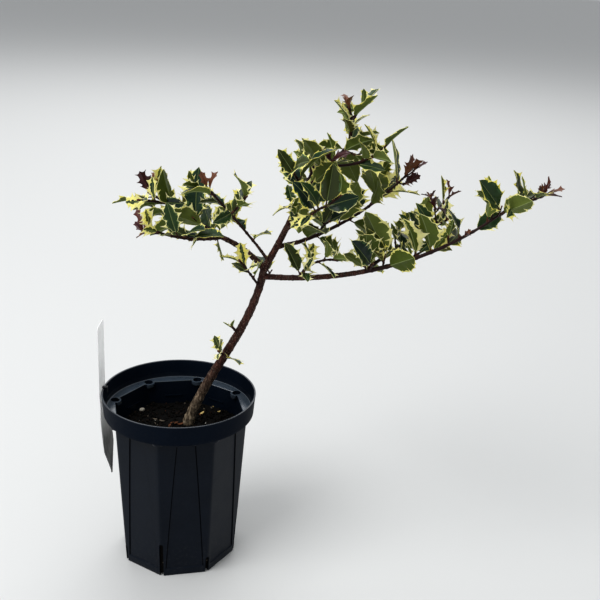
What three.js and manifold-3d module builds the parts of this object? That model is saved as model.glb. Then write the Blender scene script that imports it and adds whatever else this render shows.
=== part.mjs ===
// A young variegated holly in an octagonal slit pot.
// Millimetres, +Z up. The origin is the centre of the pot's flat underside.
// Headings are degrees round from +X towards +Y, rises are degrees above level.

import * as THREE from "three";
import { mergeVertices } from "three/addons/utils/BufferGeometryUtils.js";
import Module from "manifold-3d";

const wasm = await Module();
wasm.setup();

// ---------------------------------------------------------------- driving sizes

const GAP = 0.3; // clear space between two pieces that meet

const POT = {
  height: 175,
  rimRadius: 75,
  rimWall: 1.6,
  bandHeight: 18,
  bandFootRadius: 73.2,
  ledgeThick: 2,
  cornerTopRadius: 68.5,
  cornerFootRadius: 59,
  corners: 8,
  cornerTurn: -16, // from the front (-Y) towards +X, degrees
  wall: 2.2,
  floor: 2.2,
  roundSides: 40,
};
const PANEL = { footShare: 0.8, topShare: 0.33, low: 8, high: 149, depth: 0.8 };
const SLIT = { width: 4, tall: 38, low: 18, inner: 44 }; // tall and low ones take turns
const LOBE = { radius: 6.2, pocket: 4.4, centre: 66.2, drop: 5, pocketDrop: 6, sides: 10 };

const SOIL = { top: 134, bottom: 2.5 };

const LABEL = {
  turn: -97, // from the front (-Y) towards +X, degrees
  width: 26,
  thick: 0.8,
  top: 243,
  shoulder: 110,
  tip: 80,
  bend: 5, // degrees that the lower part leans in under the rim
  bendHeight: 170,
  holeRadius: 2.5,
  holeHeight: 147,
  tongueWidth: 6,
  tongueLow: 163,
};

const TRUNK_FOOT = new THREE.Vector3(8.6, 10.8, SOIL.top);
const FLARE = { extra: 1.5, height: 7, sunk: 4 }; // root flare at the trunk's foot
const TRUNK_TAPER = 0.8; // power of the trunk's taper, thinning faster near its foot
const CURVE_STEPS = 12; // straight steps in each limb's curve
const BUD = 2; // length that a shoot runs on past its last leaf

// Trunk and boughs: parent, place along it, heading, rise, veer (change of heading),
// lift (change of rise), length, sway (dip of the rise half way), root and tip radius.
const LIMBS = {
  trunk: [null, 0, -7.2, 72.3, -2.9, 8.8, 183.5, 15, 5.0, 3.5],
  bough_leader: ["trunk", 1, 5, 62, 3, 6, 78, 0, 3.4, 2.4],
  bough_low_right: ["trunk", 0.96, -12, -1, -3, 18, 97, 0, 2.8, 2.3],
  bough_mid_right: ["bough_leader", 0.31, 17, 8, 0, 0, 23, 0, 2.2, 1.9],
  bough_left: ["trunk", 1, 159, 47, 9, -28, 50, 0, 2.8, 2.3],
  bough_upright_left: ["bough_leader", 0.11, -137, 50, -6, -1, 25, 0, 1.5, 1.3],
  bough_front: ["bough_leader", 0.55, -67, 32, 4, -6, 44, 0, 1.7, 1.4],
  bough_back: ["bough_leader", 0.63, 62, 20, 12, 2, 38, 0, 1.7, 1.4],
};

// Masses of foliage: the limb each stem grows from, the place along that limb, then its shoots.
// A shoot: the shoot it grows on (null for the stem), place along it, heading, rise, veer, lift,
// length, root radius, leaf length, share left bare at its foot, young leaves at its tip,
// and its flushes, each [leaves, seed].
const MASSES = {
  foliage_top: ["bough_leader", 1, [
    [null, 1, 6, 51, -1, -4, 64, 2.3, 38, 0.02, 0, [[4, 646], [4, 91]]],
    [0, 1, -82, 72, -47, -10, 38, 1.6, 36, 0.04, 1, [[3, 707], [4, 234]]],
    [1, 0.56, 60, 36, -16, -5, 34, 1.1, 26, 0.15, 0, [[4, 102]]],
    [0, 0.59, -30, 1, -11, 55, 71, 1.4, 34, 0.3, 0, [[3, 337], [3, 576]]],
    [0, 0.75, 56, 13, -6, -15, 49, 1.4, 38, 0.15, 1, [[4, 232], [2, 523]]],
  ]],
  foliage_crown_left: ["bough_leader", 1, [
    [null, 1, -102, 44, -20, -7, 45, 1.9, 44, 0.03, 0, [[3, 80], [3, 66]]],
    [0, 0.15, 59, 25, 14, 11, 47, 1.5, 38, 0.15, 0, [[3, 101], [2, 223]]],
  ]],
  foliage_leader_low: ["bough_leader", 0.91, [
    [null, 1, -123, -9, -11, 19, 23, 1.2, 26, 0.15, 0, [[4, 439]]],
  ]],
  foliage_mid_right: ["bough_mid_right", 1, [
    [null, 1, 18, 14, 5, 25, 128, 1.9, 48, 0, 2, [[4, 299], [4, 813], [4, 32]]],
    [0, 0.16, -84, 45, 10, -17, 35, 1.2, 30, 0.15, 0, [[4, 306]]],
  ]],
  foliage_low_right: ["bough_low_right", 1, [
    [null, 1, -8, 14, -3, 32, 156, 2.2, 42, 0, 0, [[4, 646], [3, 608], [4, 351]]],
    [0, 0.94, -45, 22, 7, 13, 34, 1.4, 36, 0.02, 5, [[3, 425], [5, 115]]],
    [0, 0.26, 16, 28, 0, 0, 14, 0.9, 24, 0.2, 0, [[3, 530]]],
  ]],
  foliage_side: ["bough_low_right", 1, [
    [null, 1, 33, 24, -5, -3, 60, 1.9, 48, 0, 0, [[3, 608], [4, 342]]],
    [0, 1, 34, 35, 0, 0, 61, 1.4, 36, 0.02, 2, [[4, 451], [4, 237]]],
    [0, 1, -49, 36, -3, 0, 48, 1.2, 36, 0.02, 1, [[3, 800], [4, 346]]],
  ]],
  foliage_inner_right: ["bough_low_right", 0.36, [
    [null, 1, -60, 61, 29, -52, 49, 1.2, 36, 0, 0, [[3, 128], [4, 433]]],
  ]],
  foliage_left: ["bough_left", 1, [
    [null, 1, 154, 25, 1, -3, 82, 1.9, 44, 0.02, 2, [[4, 647], [4, 427], [5, 268]]],
    [0, 0.78, -135, 15, 0, -2, 34, 1.2, 36, 0.05, 0, [[4, 322]]],
  ]],
  foliage_far_left: ["bough_left", 1, [
    [null, 1, -149, 1, 7, 28, 86, 1.8, 36, 0.02, 1, [[4, 18], [4, 174], [4, 70]]],
  ]],
  foliage_upright_left: ["bough_upright_left", 1, [
    [null, 1, -148, 49, 2, -3, 82, 1.2, 32, 0.02, 2, [[2, 196], [4, 653], [3, 886]]],
    [0, 0.55, -59, 37, 4, 12, 30, 1.1, 38, 0.05, 0, [[4, 707]]],
  ]],
  foliage_low_left: ["trunk", 0.9, [
    [null, 1, -136, 50, 3, -4, 43, 1.2, 28, 0.25, 0, [[5, 400]]],
  ]],
  foliage_front: ["bough_front", 1, [
    [null, 1, -75, 40, 11, -19, 39, 1.4, 36, 0.02, 0, [[3, 823], [3, 362]]],
  ]],
  foliage_back: ["bough_back", 1, [
    [null, 1, 69, 14, -14, -14, 49, 1.4, 38, 0.02, 0, [[4, 597], [3, 597]]],
  ]],
  shoot_upper: ["trunk", 0.61, [
    [null, 1, -139, 48, 0, 0, 12, 1.2, 13, 0.5, 0, [[2, 842]]],
  ]],
  shoot_lower: ["trunk", 0.46, [
    [null, 1, -127, 39, 0, 0, 12, 1.2, 26, 0.3, 0, [[3, 868]]],
  ]],
  shoot_right: ["trunk", 0.42, [
    [null, 1, -20, 40, 0, 0, 6, 1.2, 46, 0.9, 0, [[1, 823]]],
  ]],
};

const LEAF = {
  turn: 144, // from one leaf to the next round a shoot
  spreadFoot: 85, // angle between shoot and leaf at the shoot's foot
  spreadTip: 38,
  reachUp: 0.55, // how strongly leaves turn up to the light
  width: 0.57, // share of the length
  youngWidth: 0.46,
  youngLength: 0.62,
  youngStep: 0.035, // place along the shoot from one young leaf to the next
  petiole: 0.14,
  longestPetiole: 6,
  thick: 0.022, // at the midrib
  spines: 3, // on each side, one fewer on a small leaf
  small: 26,
  stalkHalf: 0.45,
  valley: 0.66, // width between spines as a share of the width at a spine
  lowest: 185, // leaves keep above the pot
};
const TRIES = 10;
const TRY_TURN = 32; // how far a leaf is turned about its shoot to find free room
const LEAF_CLEAR = 3.0;
const WOOD_CLEAR = 1.2;
const ROOT_ZONE = 9; // a leaf may lie near the wood this close to its own root
const NEAR_LEAF = 60;
const NEAR_WOOD = 45;
const WOOD_MARKS = 40; // places checked along each limb and shoot
const SHOOT_TIP_RADIUS = 0.7;
const TRUNK_SIDES = 10;
const BOUGH_SIDES = 8;
const SHOOT_SIDES = 5;
const FLUSHES = 11; // where a shoot's row holds its flushes

// ---------------------------------------------------------------- small tools

const UP = new THREE.Vector3(0, 0, 1);
const radians = THREE.MathUtils.degToRad;
const part = new THREE.Group();

const finish = {
  pot: new THREE.MeshStandardMaterial({ color: 0x1c2535, roughness: 0.42 }),
  soil: new THREE.MeshStandardMaterial({ color: 0x1d1815, roughness: 0.95 }),
  bark: new THREE.MeshStandardMaterial({ color: 0x4a3230, roughness: 0.75 }),
  leaf: new THREE.MeshStandardMaterial({ color: 0x53683f, roughness: 0.4 }),
  label: new THREE.MeshStandardMaterial({ color: 0xc9c9c4, roughness: 0.5 }),
};

function toSolid(geometry) {
  const bare = geometry.index ? geometry.clone() : geometry;
  bare.deleteAttribute("normal");
  bare.deleteAttribute("uv");
  const merged = mergeVertices(bare, 1e-4);
  return new wasm.Manifold(
    new wasm.Mesh({
      numProp: 3,
      vertProperties: new Float32Array(merged.attributes.position.array),
      triVerts: new Uint32Array(merged.index.array),
    }),
  );
}

function toGeometry(solid) {
  const mesh = solid.getMesh();
  const geometry = new THREE.BufferGeometry();
  geometry.setAttribute("position", new THREE.BufferAttribute(new Float32Array(mesh.vertProperties), 3));
  geometry.setIndex(new THREE.BufferAttribute(new Uint32Array(mesh.triVerts), 1));
  geometry.computeVertexNormals();
  return geometry;
}

function join(solids) {
  let row = [...solids];
  while (row.length > 1) {
    const next = [];
    for (let i = 0; i < row.length; i += 2) {
      next.push(i + 1 < row.length ? row[i].add(row[i + 1]) : row[i]);
    }
    row = next;
  }
  return row[0];
}

// The largest piece of a solid, without loose scraps.
function mainPiece(solid) {
  const pieces = solid.decompose();
  return pieces.reduce((a, b) => (a.volume() >= b.volume() ? a : b));
}

function add(name, solid, material) {
  const mesh = new THREE.Mesh(toGeometry(solid), material);
  mesh.name = name;
  part.add(mesh);
}

// A direction round the pot, from the front (-Y) towards +X.
function around(degrees) {
  const angle = radians(degrees);
  return new THREE.Vector3(Math.sin(angle), -Math.cos(angle), 0);
}

// ---------------------------------------------------------------- pot

const cornerStep = 360 / POT.corners;
const halfCorner = radians(cornerStep / 2);
const bodyTop = POT.height - POT.bandHeight;

function cornerRadius(z) {
  return POT.cornerFootRadius + ((POT.cornerTopRadius - POT.cornerFootRadius) * z) / bodyTop;
}

// An eight-sided taper with its corners where the pot's are.
function eightSided(low, high, inset) {
  const side = inset / Math.cos(halfCorner);
  const geometry = new THREE.CylinderGeometry(
    cornerRadius(high) - side,
    cornerRadius(low) - side,
    high - low,
    POT.corners,
  );
  // The cylinder's first corner lies on +Z, which the turn upright carries to -Y.
  geometry.rotateX(Math.PI / 2);
  geometry.rotateZ(radians(POT.cornerTurn));
  geometry.translate(0, 0, (low + high) / 2);
  return toSolid(geometry);
}

function band() {
  const foot = bodyTop - POT.ledgeThick;
  const profile = [
    [LOBE.centre - LOBE.radius, foot],
    [POT.bandFootRadius, foot],
    [POT.rimRadius, POT.height],
    [POT.rimRadius - POT.rimWall, POT.height],
    [POT.bandFootRadius - POT.rimWall, bodyTop],
    [LOBE.centre - LOBE.radius, bodyTop],
    [LOBE.centre - LOBE.radius, foot],
  ];
  const points = profile.map(([r, z]) => new THREE.Vector2(r, z));
  const geometry = new THREE.LatheGeometry(points, POT.roundSides);
  geometry.rotateX(Math.PI / 2);
  return toSolid(geometry);
}

function upright(radius, low, high, at) {
  const geometry = new THREE.CylinderGeometry(radius, radius, high - low, LOBE.sides);
  geometry.rotateX(Math.PI / 2);
  geometry.translate(at.x, at.y, (low + high) / 2);
  return toSolid(geometry);
}

// The sunk panel of one face: a long trapezium, wide at its foot.
function panel(index) {
  const turn = POT.cornerTurn + cornerStep * (index + 0.5);
  const flatFoot = cornerRadius(PANEL.low) * Math.cos(halfCorner);
  const flatTop = cornerRadius(PANEL.high) * Math.cos(halfCorner);
  const lean = Math.atan2(flatTop - flatFoot, PANEL.high - PANEL.low);
  const footHalf = cornerRadius(PANEL.low) * Math.sin(halfCorner) * PANEL.footShare;
  const topHalf = cornerRadius(PANEL.high) * Math.sin(halfCorner) * PANEL.topShare;
  const rise = Math.hypot(PANEL.high - PANEL.low, flatTop - flatFoot);
  const shape = new THREE.Shape();
  shape.moveTo(-footHalf, 0);
  shape.lineTo(footHalf, 0);
  shape.lineTo(topHalf, rise);
  shape.lineTo(-topHalf, rise);
  shape.closePath();
  const geometry = new THREE.ExtrudeGeometry(shape, { depth: 3 * PANEL.depth, bevelEnabled: false });
  geometry.translate(0, 0, -PANEL.depth);
  geometry.rotateX(Math.PI / 2 + lean); // stands up, its depth now towards -Y
  geometry.translate(0, -flatFoot, PANEL.low);
  geometry.rotateZ(radians(turn));
  return toSolid(geometry);
}

function slit(index) {
  const length = POT.rimRadius - SLIT.inner;
  const height = index % 2 ? SLIT.low : SLIT.tall;
  const geometry = new THREE.BoxGeometry(SLIT.width, length, 2 * height);
  geometry.translate(0, -(SLIT.inner + length / 2), 0);
  geometry.rotateZ(radians(POT.cornerTurn + cornerStep * index));
  return toSolid(geometry);
}

function makePot() {
  const corners = [...Array(POT.corners).keys()];
  const lobeAt = (k) => around(POT.cornerTurn + cornerStep * k).multiplyScalar(LOBE.centre);
  const bodyFoot = eightSided(0, bodyTop, 0);
  const lobes = corners.map((k) => upright(LOBE.radius, bodyTop - LOBE.drop, bodyTop, lobeAt(k)));
  const shell = join([bodyFoot, band(), ...lobes]);
  const inside = eightSided(POT.floor, bodyTop + 1, POT.wall);
  const pockets = corners.map((k) =>
    upright(LOBE.pocket, bodyTop - LOBE.pocketDrop + POT.ledgeThick, bodyTop + 1, lobeAt(k)),
  );
  const cuts = [inside, ...pockets, ...corners.map(panel), ...corners.map(slit)];
  return mainPiece(shell.subtract(join(cuts)));
}

// ---------------------------------------------------------------- soil and label

function makeSoil() {
  return eightSided(SOIL.bottom, SOIL.top, POT.wall + GAP);
}

// A plate drawn in the XZ plane at the front of the pot, its thickness towards -Y.
function plate(shape) {
  const geometry = new THREE.ExtrudeGeometry(shape, {
    depth: LABEL.thick,
    bevelEnabled: false,
    curveSegments: 3,
  });
  geometry.rotateX(Math.PI / 2);
  return geometry;
}

function upperBlade() {
  const half = LABEL.width / 2;
  const cut = half / 4; // clipped top corners
  const shape = new THREE.Shape();
  shape.moveTo(-half, LABEL.bendHeight);
  shape.lineTo(half, LABEL.bendHeight);
  shape.lineTo(half, LABEL.top - cut);
  shape.lineTo(half - cut, LABEL.top);
  shape.lineTo(cut - half, LABEL.top);
  shape.lineTo(-half, LABEL.top - cut);
  shape.closePath();
  return plate(shape).translate(0, -(POT.rimRadius + GAP), 0);
}

// The lower blade, with its hole and point, hangs from the bend and leans in.
function lowerBlade() {
  const half = LABEL.width / 2;
  const shape = new THREE.Shape();
  shape.moveTo(-half, LABEL.thick);
  shape.lineTo(-half, LABEL.shoulder - LABEL.bendHeight);
  shape.lineTo(0, LABEL.tip - LABEL.bendHeight);
  shape.lineTo(half, LABEL.shoulder - LABEL.bendHeight);
  shape.lineTo(half, LABEL.thick);
  shape.closePath();
  const hole = new THREE.Path();
  hole.absarc(0, LABEL.holeHeight - LABEL.bendHeight, LABEL.holeRadius, 0, 2 * Math.PI, true);
  shape.holes.push(hole);
  return plate(shape)
    .rotateX(radians(LABEL.bend))
    .translate(0, -(POT.rimRadius + GAP), LABEL.bendHeight);
}

// The tongue reaches over the rim and down inside the band.
function tongue() {
  const inner = POT.bandFootRadius - POT.rimWall - 2 * GAP - LABEL.thick;
  const outer = POT.rimRadius + GAP + LABEL.thick / 2;
  const top = POT.height + GAP + LABEL.thick;
  const bridge = new THREE.BoxGeometry(LABEL.tongueWidth, outer - inner, LABEL.thick);
  bridge.translate(0, -(inner + outer) / 2, top - LABEL.thick / 2);
  const drop = new THREE.BoxGeometry(LABEL.tongueWidth, LABEL.thick, top - LABEL.tongueLow);
  drop.translate(0, -(inner + LABEL.thick / 2), (top + LABEL.tongueLow) / 2);
  return [bridge, drop];
}

function makeLabel() {
  const pieces = [upperBlade(), lowerBlade(), ...tongue()].map(toSolid);
  const geometry = toGeometry(join(pieces));
  geometry.rotateZ(radians(LABEL.turn));
  return toSolid(geometry);
}

// ---------------------------------------------------------------- limbs

// A curve from a start, a heading and rise that change evenly, and a length.
function growLine(start, heading, rise, veer, lift, length, sway = 0) {
  const points = [start.clone()];
  for (let i = 0; i < CURVE_STEPS; i += 1) {
    const t = (i + 0.5) / CURVE_STEPS;
    const h = radians(heading + veer * t);
    const r = radians(rise + lift * t - sway * Math.sin(Math.PI * t));
    const step = new THREE.Vector3(Math.cos(r) * Math.cos(h), Math.cos(r) * Math.sin(h), Math.sin(r));
    points.push(points[i].clone().addScaledVector(step, length / CURVE_STEPS));
  }
  return points;
}

function stretchAt(line, share) {
  const s = share * (line.length - 1);
  const i = Math.min(Math.floor(s), line.length - 2);
  return [i, s - i];
}

function placeAt(line, share) {
  const [i, rest] = stretchAt(line, share);
  return line[i].clone().lerp(line[i + 1], rest);
}

function axisAt(line, share) {
  const [i] = stretchAt(line, share);
  return line[i + 1].clone().sub(line[i]).normalize();
}

// A closed round limb along a line: a cylinder whose rings are carried along it.
// before and after lengthen it past the line's ends.
function limbSolid(line, radiusAt, sides, steps, before = 0, after = 0) {
  const spine = [];
  for (let i = 0; i <= steps; i += 1) {
    spine.push(placeAt(line, i / steps));
  }
  spine[0].addScaledVector(axisAt(line, 0), -before);
  spine[steps].addScaledVector(axisAt(line, 1), after);
  const axes = spine.map((_, i) => {
    const from = spine[Math.max(0, i - 1)];
    const to = spine[Math.min(steps, i + 1)];
    return to.clone().sub(from).normalize();
  });
  const across = [new THREE.Vector3(0, 1, 0)];
  const upward = [];
  for (let i = 0; i <= steps; i += 1) {
    const last = across[Math.max(0, i - 1)];
    across[i] = last.clone().addScaledVector(axes[i], -last.dot(axes[i])).normalize();
    upward[i] = across[i].clone().cross(axes[i]);
  }
  const geometry = new THREE.CylinderGeometry(1, 1, 1, sides, steps);
  const place = geometry.attributes.position;
  for (let k = 0; k < place.count; k += 1) {
    const t = place.getY(k) + 0.5;
    const i = Math.round(t * steps);
    const radius = radiusAt(i / steps);
    const point = spine[i]
      .clone()
      .addScaledVector(across[i], place.getX(k) * radius)
      .addScaledVector(upward[i], place.getZ(k) * radius);
    place.setXYZ(k, point.x, point.y, point.z);
  }
  return toSolid(geometry);
}

function taper(root, tip, extra = 0) {
  return (t) => root + (tip - root) * t + extra;
}

const wood = []; // marks along every limb and shoot: {point, radius}

function markWood(line, root, tip) {
  for (let i = 0; i < WOOD_MARKS; i += 1) {
    const t = i / (WOOD_MARKS - 1);
    wood.push({ point: placeAt(line, t), radius: root + (tip - root) * t });
  }
}

const limbs = {};
for (const [name, row] of Object.entries(LIMBS)) {
  const [parent, at, heading, rise, veer, lift, length, sway, root, tip] = row;
  const start = parent ? placeAt(limbs[parent].line, at) : TRUNK_FOOT;
  const line = growLine(start, heading, rise, veer, lift, length, sway);
  limbs[name] = { line, root, tip };
  markWood(line, root, tip);
}

const shoots = {}; // mass name: list of {line, radius, row}
for (const [mass, [parent, at, rows]] of Object.entries(MASSES)) {
  shoots[mass] = [];
  for (const row of rows) {
    const [on, place, heading, rise, veer, lift, length, radius] = row;
    const start = on === null ? placeAt(limbs[parent].line, at) : placeAt(shoots[mass][on].line, place);
    const line = growLine(start, heading, rise, veer, lift, length);
    shoots[mass].push({ line, radius, row });
    markWood(line, radius, SHOOT_TIP_RADIUS);
  }
}

// ---------------------------------------------------------------- leaves

// A small repeatable random generator, one for each flush of leaves.
function drawFrom(seed) {
  let state = (seed * 7919 + 17) >>> 0;
  return (low, high) => {
    state = (Math.imul(state, 1664525) + 1013904223) >>> 0;
    return low + ((high - low) * (state >>> 8)) / 16777216;
  };
}

// A point of a blade: along from 0 at the blade's foot to 1 at its tip, side in mm from the midrib.
function bladePoint(leaf, along, side) {
  const blade = leaf.length - leaf.petiole;
  const turn = radians(leaf.curl) * along;
  const reach = blade * along * (turn > 1e-6 ? Math.sin(turn) / turn : 1);
  const drop = blade * along * (turn > 1e-6 ? (1 - Math.cos(turn)) / turn : 0);
  const raise = Math.tan(radians(leaf.fold)) * Math.abs(side);
  return leaf.root
    .clone()
    .addScaledVector(leaf.direction, leaf.petiole + reach)
    .addScaledVector(leaf.face, raise - drop)
    .addScaledVector(leaf.across, side);
}

// Marks all over a blade, for keeping it clear of wood and other leaves.
function bladeMarks(leaf) {
  const marks = [];
  for (let i = 1; i < 8; i += 1) {
    const along = i / 7;
    const swell = Math.min(1, 2.2 * Math.sin(Math.PI * Math.min(along, 0.97)) ** 0.7);
    for (const share of [-1, -0.5, 0, 0.5, 1]) {
      marks.push(bladePoint(leaf, along, share * leaf.width * 0.5 * swell));
    }
  }
  return marks;
}

function shapeLeaf(root, axis, phase, spread, length, roll, curl, fold, young) {
  const flat = UP.clone().addScaledVector(axis, -UP.dot(axis)).normalize();
  const side = axis.clone().cross(flat);
  const out = flat.multiplyScalar(Math.cos(radians(phase))).addScaledVector(side, Math.sin(radians(phase)));
  const direction = axis
    .clone()
    .multiplyScalar(Math.cos(radians(spread)))
    .addScaledVector(out, Math.sin(radians(spread)))
    .addScaledVector(UP, LEAF.reachUp)
    .normalize();
  const up = axis.clone().multiplyScalar(0.9).addScaledVector(UP, 0.7);
  const flatFace = up.addScaledVector(direction, -up.dot(direction)).normalize();
  const flatAcross = direction.clone().cross(flatFace);
  const turn = radians(roll);
  const face = flatFace.clone().multiplyScalar(Math.cos(turn)).addScaledVector(flatAcross, Math.sin(turn));
  const across = flatAcross.multiplyScalar(Math.cos(turn)).addScaledVector(flatFace, -Math.sin(turn));
  const width = length * (young ? LEAF.youngWidth : LEAF.width);
  const petiole = Math.min(LEAF.longestPetiole, LEAF.petiole * length);
  return { root, direction, face, across, length, width, petiole, curl, fold, young };
}

const placed = []; // every leaf so far: {marks, middle}

function middleOf(marks) {
  const sum = marks.reduce((total, mark) => total.add(mark), new THREE.Vector3());
  return sum.divideScalar(marks.length);
}

function hasRoom(leaf, marks, middle) {
  if (marks.some((mark) => mark.z < LEAF.lowest)) {
    return false;
  }
  const free = marks.filter((mark) => mark.distanceTo(leaf.root) > ROOT_ZONE);
  const nearWood = wood.filter((w) => w.point.distanceTo(middle) < NEAR_WOOD);
  if (free.some((mark) => nearWood.some((w) => mark.distanceTo(w.point) - w.radius < WOOD_CLEAR))) {
    return false;
  }
  const nearLeaves = placed.filter((other) => other.middle.distanceTo(middle) < NEAR_LEAF);
  return !nearLeaves.some((other) =>
    free.some((mark) => other.marks.some((theirs) => mark.distanceTo(theirs) < LEAF_CLEAR)),
  );
}

// The leaves of one flush. A leaf that finds no room in any turn is skipped.
function flushLeaves(shoot, first, count, seed) {
  const [, , , , , , , , size, bare, young, flushes] = shoot.row;
  const draw = drawFrom(seed);
  const phase = draw(0, 360);
  const leaves = flushes.reduce((sum, [n]) => sum + n, 0);
  const grown = leaves - young;
  const places = young ? grown + 0.5 : grown;
  const kept = [];
  for (let j = first; j < first + count; j += 1) {
    const isYoung = j >= grown;
    const share = isYoung
      ? 1 - LEAF.youngStep * (leaves - 1 - j)
      : bare + ((1 - bare) * (j + 0.5)) / places;
    const root = placeAt(shoot.line, share);
    const axis = axisAt(shoot.line, share);
    const spread = LEAF.spreadFoot + (LEAF.spreadTip - LEAF.spreadFoot) * share + draw(-22, 22);
    const length = size * draw(0.66, 1.12) * (isYoung ? LEAF.youngLength : 1);
    const roll = draw(-45, 45);
    const curl = draw(0, 45);
    const fold = draw(8, 26);
    const base = phase + LEAF.turn * (j - first) + draw(-25, 25);
    for (let k = 0; k < TRIES; k += 1) {
      const turn = Math.floor((k + 1) / 2) * TRY_TURN * (k % 2 ? 1 : -1);
      const leaf = shapeLeaf(root, axis, base + turn, spread, length, roll, curl, fold, isYoung);
      const marks = bladeMarks(leaf);
      const middle = middleOf(marks);
      if (hasRoom(leaf, marks, middle)) {
        kept.push(leaf);
        placed.push({ marks, middle });
        break;
      }
    }
  }
  return kept;
}

function shootLeaves(shoot) {
  const flushes = shoot.row[FLUSHES];
  return flushes.flatMap(([count, seed], k) => {
    const first = flushes.slice(0, k).reduce((sum, [n]) => sum + n, 0);
    return flushLeaves(shoot, first, count, seed);
  });
}

// A leaf as one closed solid: a spiny blade, thick at the midrib and sharp at its edge,
// on a short petiole whose root is sunk in the shoot. With extra, the clear space round it.
function leafSolid(leaf, extra) {
  const positions = [];
  const faces = [];
  const point = (p) => positions.push(p.x, p.y, p.z) / 3 - 1;
  const half = (LEAF.thick * leaf.length) / 2 + extra;
  const stalkHalf = Math.max(LEAF.stalkHalf + extra, half);
  const edges = { [-1]: [], [1]: [] };
  const tops = [];
  const bottoms = [];
  const addMiddle = (p, amount) => {
    tops.push(point(p.clone().addScaledVector(leaf.face, amount)));
    bottoms.push(point(p.clone().addScaledVector(leaf.face, -amount)));
  };
  for (const share of [0, 1]) {
    const stalk = leaf.root.clone().addScaledVector(leaf.direction, share * leaf.petiole);
    addMiddle(stalk, stalkHalf);
    for (const sign of [-1, 1]) {
      edges[sign].push(point(stalk.clone().addScaledVector(leaf.across, sign * stalkHalf)));
    }
  }
  const swell = (along) => Math.sin(Math.PI * (0.12 + 0.8 * along)) ** 0.6;
  const halfWidth = (along) => 0.5 * leaf.width * swell(along) + extra;
  const spines = leaf.length < LEAF.small ? LEAF.spines - 1 : LEAF.spines;
  for (let i = 0; i < spines; i += 1) {
    const spine = (i + 0.62) / spines;
    const valley = (i + 0.98) / spines;
    const last = i === spines - 1;
    for (const sign of [-1, 1]) {
      edges[sign].push(point(bladePoint(leaf, spine, sign * halfWidth(spine))));
      if (!last) {
        edges[sign].push(point(bladePoint(leaf, valley, sign * halfWidth(valley) * LEAF.valley)));
      }
    }
    if (!last) {
      addMiddle(bladePoint(leaf, valley, 0), half);
    }
  }
  const tip = point(bladePoint(leaf, 1, 0));
  // One half of the blade's upper or lower side: a strip from the midrib to the edge.
  const addStrip = (middles, edge, flip) => {
    const face = (a, b, c) => faces.push(...(flip ? [a, c, b] : [a, b, c]));
    face(middles[0], edge[0], edge[1]);
    face(middles[0], edge[1], middles[1]);
    for (let m = 1; m < middles.length; m += 1) {
      const e = 2 * m - 1; // the edge's point beside this midrib point
      const last = m === middles.length - 1;
      const next = last ? tip : middles[m + 1];
      face(middles[m], edge[e], edge[e + 1]);
      face(middles[m], edge[e + 1], next);
      if (!last) {
        face(next, edge[e + 1], edge[e + 2]);
      }
    }
  };
  addStrip(tops, edges[1], false);
  addStrip(tops, edges[-1], true);
  addStrip(bottoms, edges[1], true);
  addStrip(bottoms, edges[-1], false);
  faces.push(tops[0], bottoms[0], edges[1][0]);
  faces.push(tops[0], edges[-1][0], bottoms[0]);
  const geometry = new THREE.BufferGeometry();
  geometry.setAttribute("position", new THREE.BufferAttribute(new Float32Array(positions), 3));
  geometry.setIndex(faces);
  return toSolid(geometry);
}

// ---------------------------------------------------------------- the whole plant

function trunkRadius(t) {
  const [, , , , , , length, , root, tip] = LIMBS.trunk;
  const flare = FLARE.extra * Math.exp((-t * length) / FLARE.height);
  return root + (tip - root) * t ** TRUNK_TAPER + flare;
}

// A limb's solid, or with extra the clear space that others keep from it.
function limbWithExtra(name, extra) {
  const { line, root, tip } = limbs[name];
  if (name === "trunk") {
    const radius = (t) => trunkRadius(t) + extra;
    return limbSolid(line, radius, TRUNK_SIDES, 2 * CURVE_STEPS, FLARE.sunk, extra);
  }
  return limbSolid(line, taper(root, tip, extra), BOUGH_SIDES, CURVE_STEPS / 2, 0, extra);
}

function shootWithExtra(shoot, extra) {
  const radius = taper(shoot.radius, SHOOT_TIP_RADIUS, extra);
  return limbSolid(shoot.line, radius, SHOOT_SIDES, CURVE_STEPS / 3, 0, BUD + extra);
}

add("pot", makePot(), finish.pot);
add("soil", makeSoil(), finish.soil);
add("plant_label", makeLabel(), finish.label);

// Everything below the soil's surface, taken off the trunk's foot.
function ground() {
  const block = new THREE.BoxGeometry(POT.rimRadius, POT.rimRadius, POT.rimRadius);
  block.translate(TRUNK_FOOT.x, TRUNK_FOOT.y, SOIL.top + GAP - POT.rimRadius / 2);
  return toSolid(block);
}

const taken = [ground()]; // the clear space kept round every piece made so far

function boxesMeet(a, b) {
  return [0, 1, 2].every((i) => a.min[i] <= b.max[i] && b.min[i] <= a.max[i]);
}

// A solid without what lies in the space of other pieces, and without loose scraps.
function keptClear(solid) {
  const box = solid.boundingBox();
  const near = taken.filter((space) => boxesMeet(box, space.boundingBox()));
  return mainPiece(near.reduce((rest, space) => rest.subtract(space), solid));
}

for (const name of Object.keys(LIMBS)) {
  add(name, keptClear(limbWithExtra(name, 0)), finish.bark);
  taken.push(limbWithExtra(name, GAP));
}

for (const mass of Object.keys(MASSES)) {
  const leaves = shoots[mass].flatMap(shootLeaves);
  const twigs = shoots[mass].map((shoot) => shootWithExtra(shoot, 0));
  const pieces = [...twigs, ...leaves.map((leaf) => leafSolid(leaf, 0))];
  add(mass, keptClear(join(pieces)), finish.leaf);
  taken.push(...shoots[mass].map((shoot) => shootWithExtra(shoot, GAP)));
  taken.push(...leaves.map((leaf) => leafSolid(leaf, GAP)));
}

export default part;
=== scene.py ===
"""The looks of a young variegated holly in an eight-sided slit pot.

Sizes in the rules are millimetres and become metres where a mesh is made.
Headings are degrees round from +X towards +Y, rises are degrees above level.
"""

import math

import bpy
import numpy as np
from mathutils import Matrix, Vector, noise


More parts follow.
